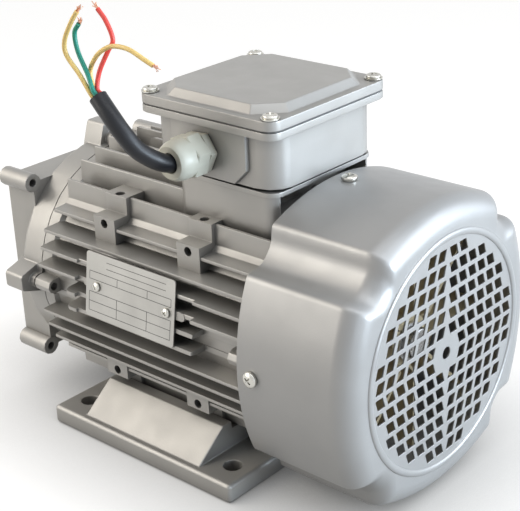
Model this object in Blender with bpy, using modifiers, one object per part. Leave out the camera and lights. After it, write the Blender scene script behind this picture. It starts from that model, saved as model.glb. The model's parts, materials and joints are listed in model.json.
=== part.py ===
"""Foot-mounted three-phase motor with a square drive-end flange and a perforated fan cowl.

Units are metres, +Z is up and the shaft lies along X, with the fan end towards +X and the cable
gland towards -Y. Sizes are measured from the middle of the feet (X), the shaft's upright plane (Y)
and the underside of the feet (Z). The root empty then centres the motor on the world origin.
"""
import math

import bmesh
import bpy
from mathutils import Matrix, Vector

# General
CLEAR = 0.0003
SHAFT_HEIGHT = 0.090

# Frame with its fins
FRAME_FRONT = -0.095
FRAME_REAR = 0.086
BORE_RADIUS = 0.063
FRAME_WALL = 0.0065
REGISTER_STEP = 0.0015
FIN_HEIGHT = 0.013
FIN_TIP = 0.0022
FIN_ROOT = 0.0036
FIN_SETBACK_FRONT = 0.0086
FIN_SETBACK_REAR = 0.002
FIN_END_ROUND = 0.0045
SIDE_FIN_PITCH = 0.01045
SIDE_FIN_PAIRS = 5
TOP_FIN_PITCH = 0.0124
TOP_FIN_PAIRS = 4
CORNER_FILLET = 0.0028
COLLAR_TAPER = 0.006

# Screw bosses at 12, 3, 6 and 9 o'clock on both ends of the frame
BOSS_ORBIT = 0.0745
BOSS_RADIUS = 0.0048
BOSS_LENGTH = 0.0143
BOSS_POCKET_FRONT = 0.033
BOSS_POCKET_REAR = 0.041
BOSS_POCKET_HALF = 0.0078
SHIELD_BOLT_RADIUS = 0.0024
SHIELD_BOLT_HEAD = 0.0044
SHIELD_BOLT_HEAD_HEIGHT = 0.004
SHIELD_BOLT_GRIP = 0.010

# Foot pads on the four corners of the frame
PAD_MIDDLE = -0.0039
PAD_SPACING = 0.070
PAD_LENGTH = 0.018
PAD_FACE = 0.0647
PAD_OFFSET = 0.0497
PAD_EDGE = 0.0537
PAD_PROUD = 0.0008
PAD_HOLE_RADIUS = 0.0030
PAD_HOLE_DEPTH = 0.011

# Feet
FOOT_LENGTH = 0.1528
FOOT_EDGE = 0.0885
FOOT_INNER = 0.036
FOOT_PLATE = 0.0124
FOOT_ROUND = 0.0015
FOOT_HOLE_SPAN_X = 0.125
FOOT_HOLE_SPAN_Y = 0.140
FOOT_HOLE_RADIUS = 0.0058
WEDGE_LENGTH = 0.0990
WEDGE_MIDDLE = -0.0011
WEDGE_TOE = 0.0845
WEDGE_CREST = 0.0047
WEDGE_CREST_EDGE = 0.0617
WEDGE_INNER = 0.040
FOOT_BOLT_HEAD = 0.005
FOOT_BOLT_HEAD_HEIGHT = 0.005
FOOT_BOLT_RECESS = 0.006

# Drive end shield
FLANGE_FRONT = -0.137
FLANGE_PLATE = 0.0255
FLANGE_HALF = 0.0583
FLANGE_CORNER = 0.002
SPIGOT_RADIUS = 0.0475
SPIGOT_HEIGHT = 0.003
BELL_RIM_RADIUS = 0.072
SHIELD_WEB = 0.009
SHIELD_FLOOR = 0.0235
SHIELD_REGISTER = 0.005
SHIELD_REGISTER_WALL = 0.0047
CORNER_BOSS_Y = 0.0588
CORNER_BOSS_Z = 0.058
CORNER_BOSS_RADIUS = 0.0062
CORNER_BOSS_LENGTH = 0.0261
CORNER_HOLE_RADIUS = 0.0026
LUG_HALF_TOP = 0.0057
LUG_HALF_FOOT = 0.0132
LUG_REACH = 0.085
LUG_LENGTH = 0.0157
LUG_COLLAR = 0.0045
LUG_ROUND = 0.0015

# Shoulder of the drive-end bell, as (radius, distance behind the flange's front)
BELL_SHOULDER = (
    (0.0720, 0.0245),
    (0.0692, 0.0211),
    (0.0643, 0.0160),
    (0.0607, 0.0119),
    (0.0575, 0.0055),
)

# Fan end shield
FAN_SHIELD_DISC = 0.008
FAN_SHIELD_RADIUS = 0.074
FAN_LUG_LENGTH = 0.021
FAN_LUG_HALF = 0.0077
HUB_WALL = 0.0065

# Shaft, bearings and seal
SHAFT_RADIUS = 0.012
SHAFT_REACH = 0.050
SHAFT_BODY_RADIUS = 0.015
SHAFT_CHAMFER = 0.001
BEARING_BORE = 0.0125
BEARING_OUTER = 0.026
BEARING_WIDTH = 0.015
BEARING_RACE_OUTER = 0.0222
DRIVE_BEARING_FRONT = -0.1212
FAN_BEARING_FRONT = 0.0877
WAVE_SPRING = 0.0020
SEAL_RADIUS = 0.0202
SEAL_WIDTH = 0.007
FAN_SEAT_RADIUS = 0.0095
KEY_WIDTH = 0.008
KEY_HEIGHT = 0.007
KEY_DEPTH = 0.004
KEY_LENGTH = 0.040
KEY_INSET = 0.005

# Stator and rotor packs
CORE_FRONT = -0.060
CORE_REAR = 0.050
CORE_BORE = 0.041
CORE_SLOTS = 18
SLOT_DEPTH = 0.012
SLOT_WIDTH = 0.006
AIR_GAP = 0.0005
WINDING_REACH = 0.023
WINDING_SHOULDER = 0.017
WINDING_INNER = 0.044
WINDING_OUTER = 0.0572
END_RING = 0.007
END_RING_INSET = 0.002

# Fan
FAN_FRONT = 0.1125
FAN_HUB_LENGTH = 0.026
FAN_HUB_RADIUS = 0.016
FAN_DISC_RADIUS = 0.064
FAN_DISC = 0.003
FAN_BLADES = 8
FAN_BLADE_TIP = 0.068
FAN_BLADE_DEPTH = 0.030
FAN_BLADE_WALL = 0.0022
CIRCLIP_WALL = 0.0012
CIRCLIP_RADIUS = 0.0118
CIRCLIP_GROOVE = 0.0008
CIRCLIP_GAP = 0.7
SHAFT_TAIL = 0.006

# Fan cowl
COWL_FRONT = 0.0865
COWL_REAR = 0.164
COWL_WALL = 0.0018
COWL_OVERHANG = 0.0055
COWL_SIDE_CURVE = 0.133
COWL_RIDGE = 0.0539
COWL_ROUND = 0.014
COWL_ROUND_STEPS = 3
COWL_SIDE_STEPS = 6
COWL_LIP_WIDTH = 0.0029
COWL_LIP_DROP = 0.0012
COWL_GROOVE_SIDE = 0.0090
COWL_GROOVE_SIDE_DROP = 0.0063
COWL_GROOVE_DEPTH = 0.0073
COWL_SCREW_X = 0.0975
COWL_SCREW_RADIUS = 0.0020
COWL_SCREW_HEAD = 0.0042
COWL_SCREW_HEAD_HEIGHT = 0.0024
COWL_SCREW_GRIP = 0.0065
GRILLE_PITCH = 0.00925
GRILLE_REACH = 0.0629
GRILLE_HOLE_WIDTH = 0.0052
GRILLE_HOLE_HEIGHT = 0.0056
GRILLE_LEAN = math.radians(18)
GRILLE_MIDDLE_GAP = 0.0021
GRILLE_CENTRE_HOLE = 0.0028
GRILLE_RING_RADIUS = 0.0700
GRILLE_RING_WIDTH = 0.0036
GRILLE_RING_HEIGHT = 0.0012

# Terminal box on its neck
NECK_FRONT = 0.0045
NECK_REAR = 0.080
NECK_HALF = 0.0445
NECK_RISE = 0.0061
NECK_CORNER = 0.008
NECK_LIP = 0.0026
NECK_LIP_PROUD = 0.0008
NECK_HOLLOW = 0.015
NECK_HOLLOW_WALL = 0.006
NECK_HOLLOW_HEIGHT = 0.013
DUCT_RADIUS = 0.014
BOX_MIDDLE = 0.035
BOX_CORNER = 0.0135
BOX_WALL = 0.0035
BOX_FLOOR = 0.0025
BOX_HEIGHT = 0.0358
BOX_FLANGE = 0.0045
BOX_GASKET = 0.0008
BOX_GASKET_HALF_X = 0.030
BOX_GASKET_HALF_Y = 0.042
LID_HALF = 0.0515
LID_OVERHANG_X = 0.0040
LID_OVERHANG_Y = 0.0065
LID_CORNER = 0.008
LID_RIM = 0.0058
LID_PANEL_MARGIN = 0.0050
LID_PANEL_CUT = 0.0150
LID_PANEL_BEVEL = 0.0045
LID_PANEL_CUT_TOP = 0.0132
LID_PANEL_HEIGHT = 0.0045
LID_WALL = 0.003
LID_GASKET = 0.0004
LID_GASKET_WIDTH = 0.010
LID_SCREW_INSET = 0.0061
LID_SCREW_RADIUS = 0.0020
LID_SCREW_HEAD = 0.0040
LID_SCREW_HEAD_HEIGHT = 0.0024
BOX_SCREW_SPAN_X = 0.050
BOX_SCREW_SPAN_Y = 0.056
BOX_SCREW_RADIUS = 0.0020
BOX_SCREW_HEAD = 0.0040
BOX_SCREW_HEAD_HEIGHT = 0.003
BOX_SCREW_GRIP = 0.012
GLAND_PAD_PROUD = 0.0025
GLAND_PAD_FRONT = 0.0050
GLAND_PAD_REAR = 0.0640
GLAND_PAD_CUT = 0.0090
GLAND_PAD_DRAFT = 0.0012
BLOCK_LENGTH = 0.040
BLOCK_WIDTH = 0.026
BLOCK_HEIGHT = 0.012
BLOCK_SHIFT = 0.008
BLOCK_ROUND = 0.0009
STUD_RADIUS = 0.0020
STUD_HEIGHT = 0.010
STUD_PITCH = 0.016
STUD_ROW = 0.012

# Cable gland, its axis along Y
GLAND_X = 0.0303
GLAND_RISE = 0.0153
GLAND_THREAD = 0.0095
GLAND_TAIL = 0.008
GLAND_PLAY = 0.0008
GLAND_HEX = 0.0126
GLAND_HEX_WIDTH = 0.0050
GLAND_TURN = math.radians(-26)
NUT_HEX = 0.0126
NUT_HEX_WIDTH = 0.0098
NUT_TURN = math.radians(-16)
NUT_LENGTH = 0.0205
NUT_SHOULDER = 0.0122
NUT_SHOULDER_DROP = 0.0070
NUT_BROW = 0.0115
NUT_BROW_DROP = 0.0030
NUT_MOUTH = 0.0096

# Cable and its four leads: their points are measured from the mouth of the gland
CABLE_RADIUS = 0.0052
CABLE_INSERT = 0.008
CABLE_STEP = 0.0104
CABLE_FACETS = 3
CABLE_ROUTE = (
    (-0.0004, -0.0094, 0.0045),
    (-0.0048, -0.0184, 0.0122),
    (-0.0096, -0.0234, 0.0220),
    (-0.0156, -0.0254, 0.0308),
    (-0.0246, -0.0254, 0.0400),
)
LEAD_RADIUS = 0.0013
LEAD_STRAIGHT = 0.0039
LEAD_STEP = 0.0078
LEAD_FACETS = 2
YELLOW_A_ROUTE = (
    (-0.0360, -0.0269, 0.0508),
    (-0.0441, -0.0279, 0.0607),
    (-0.0436, -0.0284, 0.0690),
    (-0.0368, -0.0284, 0.0797),
    (-0.0321, -0.0279, 0.0856),
)
GREEN_ROUTE = (
    (-0.0316, -0.0249, 0.0510),
    (-0.0391, -0.0239, 0.0623),
    (-0.0410, -0.0234, 0.0719),
    (-0.0370, -0.0234, 0.0774),
)
RED_ROUTE = (
    (-0.0260, -0.0214, 0.0529),
    (-0.0209, -0.0189, 0.0639),
    (-0.0167, -0.0184, 0.0706),
    (-0.0207, -0.0184, 0.0798),
    (-0.0266, -0.0184, 0.0859),
)
YELLOW_B_ROUTE = (
    (-0.0340, -0.0209, 0.0515),
    (-0.0264, -0.0224, 0.0612),
    (-0.0163, -0.0239, 0.0675),
    (-0.0079, -0.0244, 0.0698),
    (0.0020, -0.0244, 0.0694),
    (0.0115, -0.0234, 0.0654),
    (0.0166, -0.0224, 0.0629),
)

# Nameplate, sunk between the fin tips and riveted to a bar along one fin
PLATE_LENGTH = 0.075
PLATE_HEIGHT = 0.041
PLATE_WALL = 0.0008
PLATE_CORNER = 0.002
PLATE_MIDDLE = -0.0062
PLATE_DEPTH = 0.0033
PLATE_TILT = math.radians(8.3)
PLATE_RISE = 0.0037
PLATE_RECESS_FRONT = 0.0458
PLATE_RECESS_REAR = 0.0512
PLATE_RECESS_HALF = 0.0225
RIVET_SPAN = 0.059
RIVET_SHIFT = 0.0017
RIVET_RISE = -0.0006
RIVET_RADIUS = 0.0014
RIVET_HEAD = 0.0030
RIVET_HEAD_HEIGHT = 0.0016
RIVET_GRIP = 0.006
RIVET_BAR_LENGTH = 0.0855
RIVET_BAR_WIDTH = 0.0055

# Facets of round pieces, and the angles that divide smooth from sharp and flat from bent
ROUND = 32
INNER = 20
SMALL = 12
TINY = 8
HEXAGON = 6
CORNER_STEPS = 3
SHARP_ANGLE = math.radians(35)
FLAT_ANGLE = math.radians(0.5)
WELD = 0.000001
HEAD_TAPER = 0.8

# Values worked out from the sizes above
ROOT_RADIUS = BORE_RADIUS + FRAME_WALL
TIP_RADIUS = ROOT_RADIUS + FIN_HEIGHT
COWL_SIDE = TIP_RADIUS + COWL_OVERHANG
SHAFT_TIP = FLANGE_FRONT - SHAFT_REACH
SHIELD_JOINT = FRAME_FRONT - CLEAR
LUG_DEPTH = LUG_LENGTH + LUG_COLLAR
FAN_JOINT = FRAME_REAR + CLEAR
FAN_END = FAN_FRONT + FAN_HUB_LENGTH
FOOT_TOP = SHAFT_HEIGHT - PAD_FACE - CLEAR
NECK_TOP = SHAFT_HEIGHT + TIP_RADIUS + NECK_RISE
BOX_BASE = NECK_TOP + BOX_GASKET + 2 * CLEAR
BOX_TOP = BOX_BASE + BOX_HEIGHT
LID_BASE = BOX_TOP + LID_GASKET + CLEAR
LID_TOP = LID_BASE + LID_RIM
LID_PANEL_HALF = LID_HALF - LID_PANEL_MARGIN
LID_SCREW_OFFSET = LID_HALF - LID_SCREW_INSET
BOX_HALF_X = LID_HALF - LID_OVERHANG_X
BOX_HALF_Y = LID_HALF - LID_OVERHANG_Y
GLAND_PAD_FACE = BOX_HALF_Y + GLAND_PAD_PROUD
GLAND_FACE = -GLAND_PAD_FACE - CLEAR
GLAND_Z = BOX_BASE + GLAND_RISE
NUT_FACE = GLAND_FACE - GLAND_HEX_WIDTH - CLEAR
CABLE_EXIT = NUT_FACE - NUT_LENGTH
QUARTERS = tuple(math.radians(90 * index) for index in range(4))
STATIONS = (PAD_MIDDLE - PAD_SPACING / 2, PAD_MIDDLE + PAD_SPACING / 2)

# Local x, y and z become Y, Z and X, so outlines and profiles stand across the shaft
ACROSS = Matrix(((0, 0, 1, 0), (1, 0, 0, 0), (0, 1, 0, 0), (0, 0, 0, 1)))
ON_AXIS = Matrix.Translation((0, 0, SHAFT_HEIGHT)) @ ACROSS
UPRIGHT = Matrix.Identity(4)


def start_scene():
    """Empty the scene and make the two collections."""
    for item in list(bpy.data.objects):
        bpy.data.objects.remove(item, do_unlink=True)
    made = []
    for name in ("electric_motor", "cutters"):
        collection = bpy.data.collections.new(name)
        bpy.context.scene.collection.children.link(collection)
        made.append(collection)
    return made


PARTS, CUTTERS = start_scene()


def empty(name, location, parent=None):
    """Add an empty that carries a group of pieces."""
    carrier = bpy.data.objects.new(name, None)
    carrier.location = location
    carrier.parent = parent
    PARTS.objects.link(carrier)
    return carrier


MOTOR = empty("motor", (-(SHAFT_TIP + COWL_REAR + GRILLE_RING_HEIGHT) / 2, 0, 0))
ROTOR = empty("rotor", (0, 0, SHAFT_HEIGHT), MOTOR)


def finish(name, colour, roughness, metallic):
    """Make one plain material."""
    made = bpy.data.materials.new(name)
    made.use_nodes = True
    shader = made.node_tree.nodes["Principled BSDF"]
    shader.inputs["Base Color"].default_value = (*colour, 1)
    shader.inputs["Roughness"].default_value = roughness
    shader.inputs["Metallic"].default_value = metallic
    made.diffuse_color = (*colour, 1)
    return made


PAINT = finish("silver_paint", (0.50, 0.50, 0.48), 0.42, 0.6)
COWL_PAINT = finish("cowl_paint", (0.56, 0.57, 0.58), 0.38, 0.6)
ZINC = finish("zinc_steel", (0.62, 0.62, 0.58), 0.30, 1.0)
STEEL = finish("shaft_steel", (0.55, 0.55, 0.56), 0.28, 1.0)
LAMINATION = finish("lamination_steel", (0.30, 0.30, 0.31), 0.50, 0.9)
COPPER = finish("varnished_copper", (0.55, 0.25, 0.10), 0.45, 0.7)
RUBBER = finish("black_rubber", (0.02, 0.02, 0.022), 0.60, 0.0)
FAN_PLASTIC = finish("fan_plastic", (0.30, 0.22, 0.13), 0.50, 0.0)
BLOCK_PLASTIC = finish("terminal_plastic", (0.05, 0.05, 0.05), 0.55, 0.0)
NYLON = finish("ivory_nylon", (0.78, 0.78, 0.72), 0.40, 0.0)
SHEATH = finish("black_sheath", (0.012, 0.013, 0.017), 0.35, 0.0)
YELLOW = finish("yellow_insulation", (0.80, 0.52, 0.08), 0.40, 0.0)
GREEN = finish("green_insulation", (0.00, 0.26, 0.18), 0.40, 0.0)
RED = finish("red_insulation", (0.75, 0.08, 0.06), 0.40, 0.0)
PLATE_METAL = finish("plate_aluminium", (0.66, 0.66, 0.64), 0.35, 1.0)


def evaluated_mesh(item):
    """Turn an object with its modifiers into a plain welded mesh and remove the object."""
    bpy.context.view_layer.update()
    graph = bpy.context.evaluated_depsgraph_get()
    mesh = bpy.data.meshes.new_from_object(item.evaluated_get(graph))
    bpy.data.objects.remove(item, do_unlink=True)
    shape = bmesh.new()
    shape.from_mesh(mesh)
    bmesh.ops.remove_doubles(shape, verts=shape.verts, dist=WELD)
    shape.to_mesh(mesh)
    shape.free()
    return mesh


def prism(outlines, low, high):
    """Extrude closed flat outlines from low to high along local z; inner outlines are holes."""
    curve = bpy.data.curves.new("outline", "CURVE")
    curve.dimensions = "2D"
    curve.fill_mode = "BOTH"
    curve.extrude = (high - low) / 2
    for outline in outlines:
        spline = curve.splines.new("POLY")
        spline.points.add(len(outline) - 1)
        for point, (across, along) in zip(spline.points, outline):
            point.co = (across, along, 0, 1)
        spline.use_cyclic_u = True
    item = bpy.data.objects.new("outline", curve)
    CUTTERS.objects.link(item)
    mesh = evaluated_mesh(item)
    mesh.transform(Matrix.Translation((0, 0, (low + high) / 2)))
    return mesh


def turned(profile, steps=ROUND, closed=True):
    """Turn a profile of (radius, height) points about local z, its outer side running down."""
    mesh = bpy.data.meshes.new("profile")
    points = [(radius, 0, height) for radius, height in profile]
    edges = [(index, index + 1) for index in range(len(points) - 1)]
    if closed:
        edges.append((len(points) - 1, 0))
    mesh.from_pydata(points, edges, [])
    item = bpy.data.objects.new("profile", mesh)
    CUTTERS.objects.link(item)
    screw = item.modifiers.new("turn", "SCREW")
    screw.steps = steps
    screw.render_steps = steps
    screw.use_merge_vertices = True
    screw.merge_threshold = WELD
    return evaluated_mesh(item)


def from_bmesh(shape):
    """Close a bmesh into a mesh."""
    mesh = bpy.data.meshes.new("solid")
    shape.to_mesh(mesh)
    shape.free()
    return mesh


def block(low, high, rounding=0.0):
    """A box between two corners, with its edges rounded where a rounding is given."""
    shape = bmesh.new()
    size = Vector(high) - Vector(low)
    middle = (Vector(high) + Vector(low)) / 2
    matrix = Matrix.Translation(middle) @ Matrix.Diagonal((*size, 1))
    bmesh.ops.create_cube(shape, size=1, matrix=matrix)
    if rounding:
        bmesh.ops.bevel(shape, geom=shape.edges[:], offset=rounding, segments=1, affect="EDGES")
    return from_bmesh(shape)


def rod(radius, low, high, sides=SMALL, centre=(0, 0)):
    """A cylinder along local z."""
    shape = bmesh.new()
    matrix = Matrix.Translation((centre[0], centre[1], (low + high) / 2))
    bmesh.ops.create_cone(shape, cap_ends=True, segments=sides, radius1=radius, radius2=radius,
                          depth=high - low, matrix=matrix)
    return from_bmesh(shape)


def loft(rings, capped=True):
    """Skin rings of equal point counts, which run anticlockwise as seen from the last one."""
    shape = bmesh.new()
    loops = [[shape.verts.new(point) for point in ring] for ring in rings]
    count = len(loops[0])
    for lower, upper in zip(loops, loops[1:]):
        for index in range(count):
            after = (index + 1) % count
            shape.faces.new((lower[index], lower[after], upper[after], upper[index]))
    if capped:
        shape.faces.new(loops[0][::-1])
        shape.faces.new(loops[-1])
    return from_bmesh(shape)


def moved(mesh, matrix):
    """Place a mesh with a matrix and hand it back."""
    mesh.transform(matrix)
    return mesh


def merged(meshes):
    """Put separate bodies into one tool mesh."""
    shape = bmesh.new()
    for mesh in meshes:
        shape.from_mesh(mesh)
    return from_bmesh(shape)


def welded(meshes):
    """Join open sheets along the points that they share."""
    shape = bmesh.new()
    for mesh in meshes:
        shape.from_mesh(mesh)
    bmesh.ops.remove_doubles(shape, verts=shape.verts, dist=WELD)
    bmesh.ops.recalc_face_normals(shape, faces=shape.faces)
    return from_bmesh(shape)


def around(mesh_at_top, angles=QUARTERS):
    """Repeat a mesh about local z, starting from local +y."""
    copies = []
    for angle in angles:
        copies.append(moved(mesh_at_top.copy(), Matrix.Rotation(angle, 4, "Z")))
    return merged(copies)


def part(name, mesh, material, matrix=UPRIGHT, parent=MOTOR):
    """Add one sub-part, placed by its matrix and carried by its parent."""
    item = bpy.data.objects.new(name, mesh)
    mesh.name = name
    item.parent = parent
    item.matrix_local = matrix
    mesh.materials.clear()
    mesh.materials.append(material)
    mesh.shade_smooth()
    mesh.set_sharp_from_angle(angle=SHARP_ANGLE)
    PARTS.objects.link(item)
    return item


def work(target, operation, mesh, matrix=UPRIGHT, parent=MOTOR):
    """Cut a tool from a part, or join one to it, with a Boolean modifier."""
    tool = bpy.data.objects.new(f"{target.name}_tool", mesh)
    tool.parent = parent
    tool.matrix_local = matrix
    tool.hide_render = True
    tool.display_type = "WIRE"
    CUTTERS.objects.link(tool)
    step = target.modifiers.new(operation.lower(), "BOOLEAN")
    step.operation = operation
    step.object = tool
    return target


def cut(target, mesh, matrix=UPRIGHT, parent=MOTOR):
    """Take a tool away from a part."""
    return work(target, "DIFFERENCE", mesh, matrix, parent)


def join(target, mesh, matrix=UPRIGHT, parent=MOTOR):
    """Add a tool to a part."""
    return work(target, "UNION", mesh, matrix, parent)


def settle(target):
    """Merge the flat faces that the Boolean steps split."""
    flat = target.modifiers.new("flat_faces", "DECIMATE")
    flat.decimate_type = "DISSOLVE"
    flat.angle_limit = FLAT_ANGLE


def along_y(point):
    """A frame whose local z points towards -Y from a point."""
    return Matrix.Translation(point) @ Matrix.Rotation(math.radians(90), 4, "X")


def circle(radius, steps=ROUND, centre=(0, 0)):
    """Points of a round outline."""
    turns = [2 * math.pi * index / steps for index in range(steps)]
    return [(centre[0] + radius * math.cos(turn), centre[1] + radius * math.sin(turn)) for turn in turns]


def arc(centre, radius, start, end, steps):
    """Points of an arc from one angle to another, both ends included."""
    turns = [start + (end - start) * index / steps for index in range(steps + 1)]
    return [(centre[0] + radius * math.cos(turn), centre[1] + radius * math.sin(turn)) for turn in turns]


def rounded(half_x, half_y, corner, centre=(0, 0), steps=CORNER_STEPS):
    """A rectangle with round corners."""
    points = []
    for index, (sign_x, sign_y) in enumerate(((1, 1), (-1, 1), (-1, -1), (1, -1))):
        middle = (centre[0] + sign_x * (half_x - corner), centre[1] + sign_y * (half_y - corner))
        start = math.radians(90 * index)
        points += arc(middle, corner, start, start + math.pi / 2, steps)
    return points


def octagon(half, corner_cut, centre=(0, 0)):
    """A square with its corners cut off straight."""
    short = half - corner_cut
    points = [(half, short), (short, half), (-short, half), (-half, short)]
    points += [(-x, -y) for x, y in points]
    return [(centre[0] + x, centre[1] + y) for x, y in points]


def screw(length, radius, head_radius, head_height, sides=TINY):
    """A pan-headed screw along local z: the shank ends at -length and the head stands on 0."""
    profile = [
        (0, head_height),
        (head_radius * HEAD_TAPER, head_height),
        (head_radius, 0),
        (radius, 0),
        (radius, -length),
        (0, -length),
    ]
    return turned(profile, sides, closed=False)


def hex_bolt(length, radius, head_radius, head_height):
    """The head and the shank of a hexagon bolt along local z; the head stands on 0."""
    head = rod(head_radius, 0, head_height, HEXAGON)
    shank = rod(radius, -length, head_height / 2, TINY)
    return head, shank


def fin(offset, last=False):
    """Root, tip, tip and root points of one fin as (offset, height); the last fin ends below the pads."""
    low_root = offset - FIN_ROOT / 2
    high_root = offset + FIN_ROOT / 2
    tip = math.sqrt(TIP_RADIUS ** 2 - (abs(offset) + FIN_TIP / 2) ** 2)
    if last:
        tip = min(tip, PAD_FACE - PAD_PROUD)
    return [
        (low_root, math.sqrt(ROOT_RADIUS ** 2 - low_root ** 2)),
        (offset - FIN_TIP / 2, tip),
        (offset + FIN_TIP / 2, tip),
        (high_root, math.sqrt(ROOT_RADIUS ** 2 - high_root ** 2)),
    ]


def finned_outline():
    """The frame's outline across the shaft, made for one quarter and mirrored."""
    side = []
    for pair in range(SIDE_FIN_PAIRS):
        side += fin((pair + 0.5) * SIDE_FIN_PITCH, pair == SIDE_FIN_PAIRS - 1)
    top = []
    for pair in range(TOP_FIN_PAIRS, 0, -1):
        top += fin(pair * TOP_FIN_PITCH, pair == TOP_FIN_PAIRS)[::-1]
    corner = Vector((top[0][0], side[-1][0]))
    side_tip = Vector(side[-2][::-1])
    top_tip = Vector(top[1])
    quarter = [(height, offset) for offset, height in side[:-1]]
    for tip in (side_tip, top_tip):
        quarter.append(tuple(corner + (tip - corner).normalized() * CORNER_FILLET))
    quarter += top[1:]
    quarter += fin(0)[:1:-1]
    mirrored = [(-y, z) for y, z in quarter[::-1]]
    upper = quarter + mirrored
    return upper + [(y, -z) for y, z in upper[::-1]]


def boss_outline():
    """A boss with a round top on a web, standing on the frame's wall at local +y."""
    foot = BORE_RADIUS + FRAME_WALL / 2
    crown = arc((0, BOSS_ORBIT), BOSS_RADIUS, 0, math.pi, 4)
    return [(-BOSS_RADIUS, foot), (BOSS_RADIUS, foot), *crown]


def pad_outline(sign_y, sign_z):
    """The stepped foot pad on one corner of the frame."""
    inner = PAD_OFFSET - (PAD_FACE - PAD_OFFSET)
    steps = [
        (inner, inner),
        (PAD_FACE, inner),
        (PAD_FACE, PAD_EDGE),
        (PAD_EDGE, PAD_EDGE),
        (PAD_EDGE, PAD_FACE),
        (inner, PAD_FACE),
    ]
    return [(sign_y * y, sign_z * z) for y, z in steps]


def pocket(end, opening):
    """Clear the fins for a boss from the frame's end inwards, with the fin tips rounded off."""
    floor = ROOT_RADIUS + CLEAR
    top = TIP_RADIUS + FIN_HEIGHT
    sign = 1 if end > opening else -1
    outline = [(floor, opening), (floor, end)]
    for turn in (0, math.pi / 4, math.pi / 2):
        radius = TIP_RADIUS - FIN_END_ROUND * (1 - math.sin(turn))
        outline.append((radius, end + sign * FIN_END_ROUND * (1 - math.cos(turn))))
    outline += [(top, end + sign * FIN_END_ROUND), (top, opening)]
    stand = Matrix.Rotation(math.pi / 2, 4, "X")
    return around(moved(prism([outline], -BOSS_POCKET_HALF, BOSS_POCKET_HALF), stand))


def corners():
    """The four sign pairs of the frame's corners."""
    return [(sign_y, sign_z) for sign_y in (-1, 1) for sign_z in (-1, 1)]


def plate_frame():
    """The nameplate's frame: local z leaves the fins, local y runs up the plate."""
    tilt = Matrix.Rotation(-PLATE_TILT, 4, "X")
    facing = Matrix.Rotation(math.radians(90), 4, "X")
    lift = Matrix.Translation((PLATE_MIDDLE, PLATE_RISE, TIP_RADIUS - PLATE_DEPTH + CLEAR))
    return Matrix.Translation((0, 0, SHAFT_HEIGHT)) @ tilt @ facing @ lift


def rivet_places():
    """The two rivets' places on the plate."""
    return [(RIVET_SHIFT + sign * RIVET_SPAN / 2, RIVET_RISE) for sign in (-1, 1)]


def pad_holes():
    """Tapped holes in the pads' outer faces, two to a pad."""
    holes = []
    end = PAD_FACE - PAD_HOLE_DEPTH
    for station in STATIONS:
        for sign_y, sign_z in corners():
            upright = rod(PAD_HOLE_RADIUS, end, PAD_FACE + CLEAR, TINY)
            turn = Matrix.Rotation(0 if sign_z > 0 else math.pi, 4, "X")
            holes.append(moved(upright, Matrix.Translation((station, sign_y * PAD_OFFSET, 0)) @ turn))
            level = rod(PAD_HOLE_RADIUS, end, PAD_FACE + CLEAR, TINY)
            turn = Matrix.Rotation(-sign_y * math.pi / 2, 4, "X")
            holes.append(moved(level, Matrix.Translation((station, 0, sign_z * PAD_OFFSET)) @ turn))
    return merged(holes)


def box_screw_places():
    """The screws that hold the terminal box to the neck."""
    return [(BOX_MIDDLE + sx * BOX_SCREW_SPAN_X / 2, sy * BOX_SCREW_SPAN_Y / 2) for sx, sy in corners()]


def neck_outline(proud):
    """The neck that carries the terminal box, seen from above."""
    middle = (NECK_FRONT + NECK_REAR) / 2
    return rounded(NECK_REAR - middle + proud, NECK_HALF + proud, NECK_CORNER, (middle, 0))


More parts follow.
